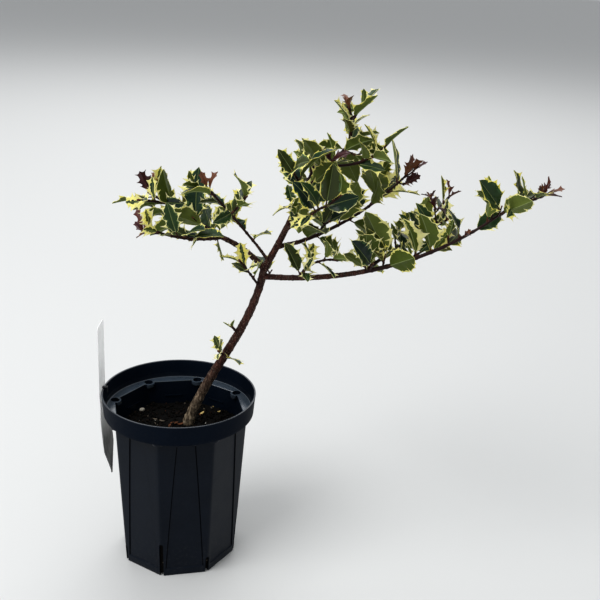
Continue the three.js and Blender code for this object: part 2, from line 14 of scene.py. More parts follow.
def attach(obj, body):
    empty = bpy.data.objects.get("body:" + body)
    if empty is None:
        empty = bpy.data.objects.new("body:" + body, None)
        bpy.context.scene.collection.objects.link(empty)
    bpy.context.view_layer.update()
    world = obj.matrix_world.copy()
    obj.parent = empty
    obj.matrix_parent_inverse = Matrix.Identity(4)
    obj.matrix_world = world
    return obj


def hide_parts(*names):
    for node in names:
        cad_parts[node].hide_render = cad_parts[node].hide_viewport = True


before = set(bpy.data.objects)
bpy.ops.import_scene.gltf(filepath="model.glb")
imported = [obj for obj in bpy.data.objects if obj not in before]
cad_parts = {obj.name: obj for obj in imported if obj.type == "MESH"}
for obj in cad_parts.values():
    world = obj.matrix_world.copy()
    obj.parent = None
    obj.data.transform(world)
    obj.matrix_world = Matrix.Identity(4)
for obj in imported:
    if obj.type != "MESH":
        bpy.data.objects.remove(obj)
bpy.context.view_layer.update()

MM = 0.001
UP = np.array([0.0, 0.0, 1.0])

# ------------------------------------------------------------------ sizes

POT_HEIGHT = 175.0
RIM_RADIUS = 75.0
RIM_WALL = 1.6
BAND_HEIGHT = 18.0
BAND_FOOT_RADIUS = 73.2
LEDGE = 2.0
BODY_TOP = POT_HEIGHT - BAND_HEIGHT
LEDGE_RADIUS, BAND_RADIUS = 71.6, 72.5  # the ledge lies inside the first, the band outside the other
CORNER_TOP, CORNER_FOOT = 68.5, 59.0
CORNERS = 8
CORNER_ROUND, CORNER_PULL = 1.4, 0.35
CORNER_TURN = -16.0  # from the front (-Y) towards +X
WALL, FLOOR = 2.2, 2.2
HALF_FACE = math.pi / CORNERS
PANEL_FOOT, PANEL_TOP = 0.8, 0.33  # share of the face that the sunk panel takes
PANEL_LOW, PANEL_HIGH, PANEL_DEPTH, PANEL_BEVEL = 8.0, 149.0, 0.9, 0.5
SLIT_WIDTH, SLIT_TALL, SLIT_LOW, SLIT_INNER = 4.0, 38.0, 18.0, 44.0
LOBE_CENTRE, LOBE_RADIUS, LOBE_DROP, POCKET_RADIUS, POCKET_DEPTH = 66.2, 6.2, 5.0, 4.4, 4.0
RIB_MIDDLE, RIB_TALL, RIB_REACH = 141.0, 1.2, 9.0
SOIL_TOP, SOIL_FOOT, GAP = 134.0, 2.5, 0.3

TRUNK_FOOT = np.array([8.6, 10.8, SOIL_TOP])
FLARE, FLARE_HEIGHT, TRUNK_TAPER, ROUGH_FOOT = 1.5, 7.0, 0.8, 70.0
CURVE_STEPS = 12

# Trunk and boughs: parent, place along it, heading, rise, veer, lift, length, sway,
# root radius, tip radius.
LIMBS = {
    "trunk": (None, 0, -7.2, 72.3, -2.9, 8.8, 183.5, 15, 5.0, 3.5),
    "bough_leader": ("trunk", 1, 5, 62, 3, 6, 78, 0, 3.4, 2.4),
    "bough_low_right": ("trunk", 0.96, -12, -1, -3, 18, 97, 0, 2.8, 2.3),
    "bough_mid_right": ("bough_leader", 0.31, 17, 8, 0, 0, 23, 0, 2.2, 1.9),
    "bough_left": ("trunk", 1, 159, 47, 9, -28, 50, 0, 2.8, 2.3),
    "bough_upright_left": ("bough_leader", 0.11, -137, 50, -6, -1, 25, 0, 1.5, 1.3),
    "bough_front": ("bough_leader", 0.55, -67, 32, 4, -6, 44, 0, 1.7, 1.4),
    "bough_back": ("bough_leader", 0.63, 62, 20, 12, 2, 38, 0, 1.7, 1.4),
}

# Masses of foliage: the limb each stem grows from, the place along it, then its shoots.
# A shoot: the shoot it grows on (None for the stem), place along it, heading, rise, veer,
# lift, length, root radius, leaf length, share left bare at its foot, young leaves at its
# tip, and its flushes, each (leaves, seed).
MASSES = {
    "foliage_top": ("bough_leader", 1, [
        (None, 1, 6, 51, -1, -4, 64, 2.3, 38, 0.02, 0, [(4, 646), (4, 91)]),
        (0, 1, -82, 72, -47, -10, 38, 1.6, 36, 0.04, 1, [(3, 707), (4, 234)]),
        (1, 0.56, 60, 36, -16, -5, 34, 1.1, 26, 0.15, 0, [(4, 102)]),
        (0, 0.59, -30, 1, -11, 55, 71, 1.4, 34, 0.3, 0, [(3, 337), (3, 576)]),
        (0, 0.75, 56, 13, -6, -15, 49, 1.4, 38, 0.15, 1, [(4, 232), (2, 523)]),
    ]),
    "foliage_crown_left": ("bough_leader", 1, [
        (None, 1, -102, 44, -20, -7, 45, 1.9, 44, 0.03, 0, [(3, 80), (3, 66)]),
        (0, 0.15, 59, 25, 14, 11, 47, 1.5, 38, 0.15, 0, [(3, 101), (2, 223)]),
    ]),
    "foliage_leader_low": ("bough_leader", 0.91, [
        (None, 1, -123, -9, -11, 19, 23, 1.2, 26, 0.15, 0, [(4, 439)]),
    ]),
    "foliage_mid_right": ("bough_mid_right", 1, [
        (None, 1, 18, 14, 5, 25, 128, 1.9, 48, 0, 2, [(4, 299), (4, 813), (4, 32)]),
        (0, 0.16, -84, 45, 10, -17, 35, 1.2, 30, 0.15, 0, [(4, 306)]),
    ]),
    "foliage_low_right": ("bough_low_right", 1, [
        (None, 1, -8, 14, -3, 32, 156, 2.2, 42, 0, 0, [(4, 646), (3, 608), (4, 351)]),
        (0, 0.94, -45, 22, 7, 13, 34, 1.4, 36, 0.02, 5, [(3, 425), (5, 115)]),
        (0, 0.26, 16, 28, 0, 0, 14, 0.9, 24, 0.2, 0, [(3, 530)]),
    ]),
    "foliage_side": ("bough_low_right", 1, [
        (None, 1, 33, 24, -5, -3, 60, 1.9, 48, 0, 0, [(3, 608), (4, 342)]),
        (0, 1, 34, 35, 0, 0, 61, 1.4, 36, 0.02, 2, [(4, 451), (4, 237)]),
        (0, 1, -49, 36, -3, 0, 48, 1.2, 36, 0.02, 1, [(3, 800), (4, 346)]),
    ]),
    "foliage_inner_right": ("bough_low_right", 0.36, [
        (None, 1, -60, 61, 29, -52, 49, 1.2, 36, 0, 0, [(3, 128), (4, 433)]),
    ]),
    "foliage_left": ("bough_left", 1, [
        (None, 1, 154, 25, 1, -3, 82, 1.9, 44, 0.02, 2, [(4, 647), (4, 427), (5, 268)]),
        (0, 0.78, -135, 15, 0, -2, 34, 1.2, 36, 0.05, 0, [(4, 322)]),
    ]),
    "foliage_far_left": ("bough_left", 1, [
        (None, 1, -149, 1, 7, 28, 86, 1.8, 36, 0.02, 1, [(4, 18), (4, 174), (4, 70)]),
    ]),
    "foliage_upright_left": ("bough_upright_left", 1, [
        (None, 1, -148, 49, 2, -3, 82, 1.2, 32, 0.02, 2, [(2, 196), (4, 653), (3, 886)]),
        (0, 0.55, -59, 37, 4, 12, 30, 1.1, 38, 0.05, 0, [(4, 707)]),
    ]),
    "foliage_low_left": ("trunk", 0.9, [
        (None, 1, -136, 50, 3, -4, 43, 1.2, 28, 0.25, 0, [(5, 400)]),
    ]),
    "foliage_front": ("bough_front", 1, [
        (None, 1, -75, 40, 11, -19, 39, 1.4, 36, 0.02, 0, [(3, 823), (3, 362)]),
    ]),
    "foliage_back": ("bough_back", 1, [
        (None, 1, 69, 14, -14, -14, 49, 1.4, 38, 0.02, 0, [(4, 597), (3, 597)]),
    ]),
    "shoot_upper": ("trunk", 0.61, [(None, 1, -139, 48, 0, 0, 12, 1.2, 13, 0.5, 0, [(2, 842)])]),
    "shoot_lower": ("trunk", 0.46, [(None, 1, -127, 39, 0, 0, 12, 1.2, 26, 0.3, 0, [(3, 868)])]),
    "shoot_right": ("trunk", 0.42, [(None, 1, -20, 40, 0, 0, 6, 1.2, 46, 0.9, 0, [(1, 823)])]),
}

# Spurs, the finer side twigs of a mass or bough: the shoot each grows on (None on a bough),
# the place along it, its seed, from which its way, length and leaves are drawn, and what it
# carries: a few small leaves, a few young red ones, or one large leaf.
FEW, REDDISH, LONE = range(3)
SPURS = {
    "bough_front": [(None, 0.42, 25, FEW)],
    "bough_low_right": [(None, 0.04, 50, FEW)],
    "foliage_far_left": [(0, 0.46, 50, FEW), (0, 0.79, 31, REDDISH)],
    "foliage_front": [(0, 0.9, 80, FEW)],
    "foliage_inner_right": [(0, 0.21, 60, FEW), (0, 0.93, 49, FEW)],
    "foliage_left": [(0, 0.59, 43, FEW), (0, 0.95, 39, REDDISH), (0, 0.29, 138, LONE)],
    "foliage_low_right": [
        (0, 0.11, 24, FEW), (0, 0.39, 78, FEW), (0, 0.52, 53, FEW), (0, 0.8, 26, FEW),
        (0, 0.84, 49, FEW), (0, 0.89, 73, FEW), (1, 0.62, 7, REDDISH), (1, 0.38, 36, REDDISH),
        (0, 0.57, 44, REDDISH), (0, 0.03, 608, LONE), (0, 0.11, 689, LONE), (0, 0.85, 608, LONE),
    ],
    "foliage_mid_right": [
        (0, 0.69, 80, FEW), (0, 0.81, 109, FEW), (0, 0.92, 4, REDDISH), (0, 0.97, 1, REDDISH),
        (0, 0.75, 35, FEW), (0, 0.66, 1187, LONE),
    ],
    "foliage_side": [
        (0, 0.06, 78, FEW), (0, 0.69, 80, FEW), (2, 0.75, 56, REDDISH), (1, 0.69, 7, REDDISH),
        (0, 0.06, 11, FEW),
    ],
    "foliage_top": [
        (4, 0.64, 88, FEW), (1, 0.9, 57, REDDISH), (3, 0.05, 43, REDDISH),
        (4, 0.36, 60, FEW),
    ],
    "foliage_upright_left": [(0, 0.95, 60, FEW)],
}
SPUR_RADIUS, SPUR_TIP_RADIUS = 0.9, 0.6
SPUR_LEAF, LONE_LEAF = 34.0, 60.0
SPUR_LEAF_CLEAR, SPUR_CLEAR = 1.2, 1.0
SPUR_UP, SPUR_LIFT, SPUR_BARE = 0.3, 14, 0.3
SPUR_SPREAD, SPUR_LENGTH, SPUR_SIZE, SPUR_LEAVES = (30, 80), (4, 18), (0.5, 1.0), (1, 3.99)

# The leaf rule, as in the part's source.
LEAF_TURN = 144.0
TURN_DRAW, SPREAD_DRAW, SIZE_DRAW = (-25, 25), (-22, 22), (0.66, 1.12)
ROLL_DRAW, CURL_DRAW, FOLD_DRAW = (-45, 45), (0, 45), (8, 26)
SPREAD_FOOT, SPREAD_TIP = 85.0, 38.0
REACH_UP = 0.55
LEAF_WIDTH, YOUNG_WIDTH = 0.57, 0.46
YOUNG_LENGTH, YOUNG_STEP = 0.62, 0.035
PETIOLE, LONGEST_PETIOLE = 0.14, 6.0
LOWEST_LEAF = 185.0
TRIES, TRY_TURN = 10, 32.0
LEAF_CLEAR, WOOD_CLEAR, ROOT_ZONE = 3.0, 1.2, 9.0
NEAR_LEAF, NEAR_WOOD, WOOD_MARKS = 60.0, 45.0, 40
SHOOT_TIP_RADIUS = 0.7
TWIG_TIP_RADIUS = 0.9
TIP_BUD, SIDE_BUD, SIDE_BUD_RADIUS = 3.4, (1.8, 2.6), 0.75
SMALL_STALK = 22.0  # leaves below this length have thinner stalks

# ------------------------------------------------------------------ colours

UPPER_GREENS = [
    (0.0070, 0.022, 0.013),
    (0.013, 0.036, 0.018),
    (0.025, 0.056, 0.017),
    (0.042, 0.056, 0.013),
]
GREY_GREENS = [(0.045, 0.095, 0.035), (0.070, 0.125, 0.045), (0.110, 0.160, 0.060)]
# The last of the undersides is brownish, and only small leaves have it.
UNDER_GREENS = [
    (0.082, 0.114, 0.018),
    (0.104, 0.140, 0.026),
    (0.135, 0.172, 0.040),
    (0.088, 0.088, 0.015),
]
CREAMS = [(0.92, 0.82, 0.24), (0.95, 0.87, 0.36), (0.88, 0.74, 0.16)]
UNDER_CREAMS = [(0.90, 0.80, 0.24), (0.94, 0.86, 0.36)]
MIDRIB = (0.22, 0.27, 0.10)
YOUNG_REDS = [(0.060, 0.016, 0.018), (0.100, 0.030, 0.022), (0.160, 0.062, 0.032)]
TWIG_BROWN = (0.022, 0.0060, 0.0050)
BUD_GREEN = (0.11, 0.10, 0.04)
STALK_TINTS = [(0.075, 0.026, 0.012), (0.034, 0.0090, 0.0070)]
# Bark from its cracks to its ridges: places in the noise, then colours.
BARK_FOOT = [(0.34, (0.022, 0.016, 0.010)), (0.50, (0.120, 0.092, 0.060)), (0.66, (0.40, 0.32, 0.22))]
BARK_TOP = [(0.34, (0.012, 0.0030, 0.0024)), (0.56, (0.052, 0.015, 0.011)), (0.78, (0.15, 0.060, 0.042))]
BARK_BLOTCH, BARK_SPECK = (0.060, 0.046, 0.030), (0.34, 0.28, 0.21)
POT_DUST = (0.060, 0.060, 0.060)
# The label's own pale tones high up, then darker greys low on its blade beside the pot: painted shade and
# reflection of the dark pot.
LABEL_OWN_TONES = [(0.30, (0.76, 0.77, 0.76)), (0.50, (0.86, 0.87, 0.86)), (0.75, (0.90, 0.91, 0.90))]
LABEL_PAINTED_SHADE = [(0.36, (0.020, 0.020, 0.018)), (0.62, (0.15, 0.15, 0.145))]
PAINTED_SHADE_TO, OWN_TONES_FROM = 120.0, 172.0  # heights on the label
FLOOR_GREY = (0.64, 0.645, 0.64)
SKY, SKY_STRENGTH = (0.92, 0.94, 0.965), 0.54

# ------------------------------------------------------------------ materials


class Shader:
    """Builds one procedural material. Texture places are the object's own, in metres."""

    def __init__(self, name):
        self.material = bpy.data.materials.new(name)
        self.material.use_nodes = True
        self.nodes = self.material.node_tree.nodes
        self.links = self.material.node_tree.links
        self.bsdf = self.nodes["Principled BSDF"]
        self.coords = self.node("TexCoord").outputs["Object"]

    def node(self, kind, **inputs):
        """A new node, with its inputs by name."""
        made = self.nodes.new("ShaderNode" + kind)
        self.feed_all(made, inputs)
        return made

    def feed_all(self, node, inputs):
        """Sets inputs by name, with _ for each space in a name."""
        for key, value in inputs.items():
            self.feed(node.inputs[key.replace("_", " ")], value)

    def feed(self, socket, value):
        """Gives an input another node's output, a colour, three numbers or one."""
        if isinstance(value, bpy.types.NodeSocket):
            self.links.new(value, socket)
        elif socket.type == "RGBA":
            socket.default_value = (*value, 1.0)
        else:
            socket.default_value = value

    def noise(self, size_mm, detail=3.0, rough=0.55, stretch=(1, 1, 1)):
        """Cloudy noise from 0 to 1, its blobs about size_mm across, squeezed by stretch."""
        place = self.node("Mapping", Vector=self.coords, Scale=stretch).outputs["Vector"]
        scale = 1.0 / (size_mm * MM)
        node = self.node("TexNoise", Vector=place, Scale=scale, Detail=detail, Roughness=rough)
        return node.outputs["Fac"]

    def ramp(self, value, stops):
        """Colours by value: stops are (position, colour)."""
        node = self.node("ValToRGB", Fac=value)
        elements = node.color_ramp.elements
        while len(elements) < len(stops):
            elements.new(0.5)
        for element, (position, colour) in zip(elements, stops):
            element.position = position
            element.color = (*colour, 1.0)
        return node.outputs["Color"]

    def span(self, value, low, high, to_low=0.0, to_high=1.0):
        """Maps low..high to to_low..to_high, held at both ends."""
        ends = {"From_Min": low, "From_Max": high, "To_Min": to_low, "To_Max": to_high}
        return self.node("MapRange", Value=value, **ends).outputs["Result"]

    def mix(self, share, first, second):
        """A mix of two colours; each is a colour or a node's output."""
        node = self.node("Mix")
        node.data_type = "RGBA"
        for socket, value in ((0, share), (6, first), (7, second)):
            self.feed(node.inputs[socket], value)
        return node.outputs[2]

    def height(self):
        """The height of a point, in metres."""
        return self.node("SeparateXYZ", Vector=self.coords).outputs["Z"]

    def skin(self, **inputs):
        """Sets inputs of the shader itself."""
        self.feed_all(self.bsdf, inputs)

    def glow(self, weight, colours, depth_mm):
        """Lets light soak into the skin, each colour as deep as its share of depth_mm."""
        self.skin(Subsurface_Weight=weight, Subsurface_Radius=colours, Subsurface_Scale=depth_mm * MM)

    def bump(self, value, depth_mm, strength=1.0):
        """Adds relief under any bump that is already there."""
        node = self.node("Bump", Height=value, Distance=depth_mm * MM, Strength=strength)
        normal = self.bsdf.inputs["Normal"]
        if normal.is_linked:
            self.feed(node.inputs["Normal"], normal.links[0].from_socket)
        self.skin(Normal=node.outputs["Normal"])


def leaf_material(name, colour, rough, coat=0.0, grain=1.6, depth=0.06, gloss=0.2, glow=0.0):
    """A leaf's skin: one plain colour, fine grain and uneven gloss. glow is the share of the
    light that soaks through it."""
    shader = Shader(name)
    uneven = shader.span(shader.noise(4.0), 0.3, 0.7, rough - 0.07, rough + 0.08)
    shader.skin(Base_Color=colour, Roughness=uneven, Specular_IOR_Level=gloss)
    shader.bump(shader.noise(grain, detail=4.0), depth)
    if glow:
        shader.glow(glow, colours=(1.0, 0.9, 0.5), depth_mm=1.5)
    if coat:
        shader.skin(Coat_Weight=coat, Coat_Roughness=0.22)
    return shader.material


def several(stem, colours, *args, **more):
    """One leaf material for each colour."""
    return [leaf_material(f"{stem}_{i + 1}", c, *args, **more) for i, c in enumerate(colours)]


def bark_material(name, low, high):
    """Grey-brown bark up to the height low, in mm, that is purple-brown from high up."""
    shader = Shader(name)
    streaks = shader.noise(2.4, detail=5.0, rough=0.6, stretch=(1.0, 1.0, 0.28))
    blotches = shader.noise(9.0, detail=4.0, rough=0.6)
    specks = shader.noise(1.1, detail=2.0, rough=0.5, stretch=(1.0, 1.0, 1.8))
    climb = shader.span(shader.height(), low * MM, high * MM)
    bark = shader.mix(climb, shader.ramp(streaks, BARK_FOOT), shader.ramp(streaks, BARK_TOP))
    bark = shader.mix(shader.span(blotches, 0.54, 0.74, to_high=0.28), bark, BARK_BLOTCH)
    bark = shader.mix(shader.span(specks, 0.60, 0.67, to_high=0.60), bark, BARK_SPECK)
    worn = shader.span(streaks, 0.3, 0.7, 0.50, 0.72)
    shader.skin(Base_Color=bark, Roughness=worn, Specular_IOR_Level=0.18)
    shader.bump(streaks, depth_mm=0.5, strength=0.8)
    shader.bump(specks, depth_mm=0.18, strength=0.7)
    return shader.material


def plastic_material(name, sheen, rough, dark, light):
    """Dark navy moulded plastic with a soft sheen, faint marks and dust low down."""
    shader = Shader(name)
    cloud = shader.noise(26.0, detail=4.0, rough=0.6)
    dust = shader.noise(3.0, detail=5.0, rough=0.65)
    base = shader.ramp(cloud, [(0.3, dark), (0.7, light)])
    low_dust = shader.span(shader.height(), 0.0, 0.05, 0.35, 0.06)
    shown = shader.node("Math")
    shown.operation = "MULTIPLY"
    shader.feed(shown.inputs[0], low_dust)
    shader.feed(shown.inputs[1], shader.span(dust, 0.52, 0.78))
    uneven = shader.span(cloud, 0.3, 0.7, rough - 0.05, rough + 0.06)
    dusty = shader.mix(shown.outputs[0], base, POT_DUST)
    shader.skin(Base_Color=dusty, Roughness=uneven, Specular_IOR_Level=sheen)
    shader.bump(shader.noise(1.3), depth_mm=0.05, strength=0.6)
    shader.bump(shader.noise(14.0, detail=2.0), depth_mm=0.35, strength=0.35)
    return shader.material


def crumb_material(name, dark, light):
    """A dull grain of potting mix."""
    shader = Shader(name)
    grains = shader.noise(1.2, detail=5.0, rough=0.65)
    mottled = shader.ramp(grains, [(0.35, dark), (0.68, light)])
    shader.skin(Base_Color=mottled, Roughness=0.92, Specular_IOR_Level=0.1)
    shader.bump(grains, depth_mm=0.35, strength=0.9)
    return shader.material


def label_material():
    """Thin blank plastic that lets light through. Low on its blade it darkens to greys near black,
    painted shade and reflection of the dark pot beside it.
    """
    shader = Shader("label_blank_plastic")
    label_mottle = shader.noise(11.0, detail=5.0, rough=0.62, stretch=(1.0, 1.0, 0.6))
    own_tones, pot_shade = shader.ramp(label_mottle, LABEL_OWN_TONES), shader.ramp(label_mottle, LABEL_PAINTED_SHADE)
    # Painted shade: below the lower height the blade takes the dark greys, blending up to its own tones.
    climb = shader.span(shader.height(), PAINTED_SHADE_TO * MM, OWN_TONES_FROM * MM)
    rubbed = shader.span(label_mottle, 0.3, 0.7, 0.38, 0.55)
    shader.skin(Base_Color=shader.mix(climb, pot_shade, own_tones), Roughness=rubbed)
    shader.glow(1.0, colours=(1.0, 1.0, 1.0), depth_mm=4.0)
    shader.bump(shader.noise(2.0), depth_mm=0.03, strength=0.5)
    return shader.material


# ------------------------------------------------------------------ meshes


class Piece:
    """Gathers many small shapes, each face with its own material, into one mesh."""

    def __init__(self, name, materials):
        self.name = name
        self.materials = list(materials)
        self.points = []
        self.faces = []
        self.kinds = []
        self.count = 0

    def add(self, points, faces, kinds):
        """points in mm; kinds is one material number or one for each face."""
        self.points.append(np.asarray(points, float))
        self.faces.extend(tuple(i + self.count for i in face) for face in faces)
        self.kinds.extend([kinds] * len(faces) if isinstance(kinds, int) else kinds)
        self.count += len(points)

    def make(self, sharp, nodes=()):
        """Makes the piece, smooth below the angle sharp; it replaces the nodes."""
        mesh = bpy.data.meshes.new(self.name)
        points = np.concatenate(self.points) * MM
        mesh.from_pydata(points.tolist(), [], self.faces)
        for material in self.materials:
            mesh.materials.append(material)
        mesh.polygons.foreach_set("material_index", self.kinds)
        mesh.polygons.foreach_set("use_smooth", [True] * len(mesh.polygons))
        mesh.update()
        mesh.set_sharp_from_angle(angle=math.radians(sharp))
        place_piece(self.name, mesh, nodes)


def put(name, data):
    """A new object of the scene, made of a mesh, a lamp or camera data."""
    made = bpy.data.objects.new(name, data)
    bpy.context.scene.collection.objects.link(made)
    return made


def place_piece(name, mesh, nodes=()):
    piece = put(name, mesh)
    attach(piece, "root")
    if nodes:
        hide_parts(*nodes)


def grid_faces(rows, columns, closed=True):
    """Quads of a grid of points, row after row; closed joins the last column to the first."""
    faces = []
    for i in range(rows - 1):
        for j in range(columns if closed else columns - 1):
            a, b = i * columns + j, i * columns + (j + 1) % columns
            faces.append((a, b, b + columns, a + columns))
    return faces


def stacked(rings):
    """Points and faces of the solid that a stack of rings encloses, flat at both ends."""
    columns = len(rings[0])
    last = (len(rings) - 1) * columns
    faces = grid_faces(len(rings), columns)
    faces.append(tuple(reversed(range(columns))))
    faces.append(tuple(range(last, last + columns)))
    return np.concatenate(rings), faces


def unit(v):
    return v / np.linalg.norm(v)


def round_axis(axis, degrees):
    """The way square to axis and so many degrees round it from the upward one."""
    flat = unit(UP - np.dot(UP, axis) * axis)
    turn = math.radians(degrees)
    return flat * math.cos(turn) + np.cross(axis, flat) * math.sin(turn)


def smooth_step(value, low, high):
    """0 up to low, 1 from high, with a soft change between."""
    t = np.clip((value - low) / (high - low), 0.0, 1.0)
    return t * t * (3 - 2 * t)


# ------------------------------------------------------------------ the growth rule


class Draw:
    """A small repeatable random generator, the same as in the part's source."""

    def __init__(self, seed):
        self.state = (seed * 7919 + 17) & 0xFFFFFFFF

    def between(self, low, high):
        self.state = (self.state * 1664525 + 1013904223) & 0xFFFFFFFF
        return low + (high - low) * (self.state >> 8) / 16777216.0


def grow_line(start, heading, rise, veer, lift, length, sway=0.0):
    """A line that sets off at heading and rise and turns by veer and lift along its length."""
    points = [np.asarray(start, float)]
    for i in range(CURVE_STEPS):
        t = (i + 0.5) / CURVE_STEPS
        h = math.radians(heading + veer * t)
        r = math.radians(rise + lift * t - sway * math.sin(math.pi * t))
        step = np.array([math.cos(r) * math.cos(h), math.cos(r) * math.sin(h), math.sin(r)])
        points.append(points[-1] + step * length / CURVE_STEPS)
    return np.array(points)


def stretch_at(line, share):
    """The stretch of a line that a share of its length falls in, and how far along it."""
    s = share * (len(line) - 1)
    i = min(int(s), len(line) - 2)
    return i, s - i


def place_at(line, share):
    i, rest = stretch_at(line, share)
    return line[i] + rest * (line[i + 1] - line[i])


def axis_at(line, share):
    i, _ = stretch_at(line, share)
    return unit(line[i + 1] - line[i])


def blade_points(leaf, along, side, raised=0.0):
    """Points of a blade: along from 0 at its foot to 1 at its tip, side in mm from the
    midrib, raised in mm off the blade's own surface."""
    along = np.asarray(along, float)
    side = np.asarray(side, float)
    raised = np.broadcast_to(raised, side.shape)
    blade = leaf["length"] - leaf["petiole"]
    turn = np.radians(leaf["curl"]) * along
    safe = np.where(turn > 1e-6, turn, 1.0)
    reach = blade * along * np.where(turn > 1e-6, np.sin(safe) / safe, 1.0)
    drop = blade * along * np.where(turn > 1e-6, (1 - np.cos(safe)) / safe, 0.0)
    fold = math.tan(math.radians(leaf["fold"])) * np.abs(side)
    forward = leaf["petiole"] + reach + raised * np.sin(turn)
    outward = fold - drop + raised * np.cos(turn)
    return (
        leaf["root"]
        + forward[..., None] * leaf["direction"]
        + outward[..., None] * leaf["face"]
        + side[..., None] * leaf["across"]
    )


def blade_marks(leaf):
    """Points all over a blade, to measure its distance from other things."""
    along = np.repeat(np.arange(1, 8) / 7.0, 5)
    shares = np.tile([-1, -0.5, 0, 0.5, 1], 7)
    swell = np.minimum(1.0, 2.2 * np.sin(np.pi * np.minimum(along, 0.97)) ** 0.7)
    return blade_points(leaf, along, shares * leaf["width"] * 0.5 * swell)


def shape_leaf(root, axis, phase, spread, length, roll, curl, fold, young):
    """A leaf at root on a twig along axis; its angles are degrees."""
    out = round_axis(axis, phase)
    s = math.radians(spread)
    direction = unit(axis * math.cos(s) + out * math.sin(s) + UP * REACH_UP)
    face = axis * 0.9 + UP * 0.7
    face = unit(face - np.dot(face, direction) * direction)
    across = np.cross(direction, face)
    turn = math.radians(roll)
    rolled = face * math.cos(turn) + across * math.sin(turn)
    across = across * math.cos(turn) - face * math.sin(turn)
    return {
        "root": root,
        "direction": direction,
        "face": rolled,
        "across": across,
        "length": length,
        "width": length * (YOUNG_WIDTH if young else LEAF_WIDTH),
        "petiole": min(LONGEST_PETIOLE, PETIOLE * length),
        "curl": curl,
        "fold": fold,
        "young": young,
    }


def from_wood(points, wood):
    """The least distance from any of the points to the skin of any of the wood's marks."""
    return (np.linalg.norm(points[:, None] - wood[None, :, :3], axis=2) - wood[None, :, 3]).min()


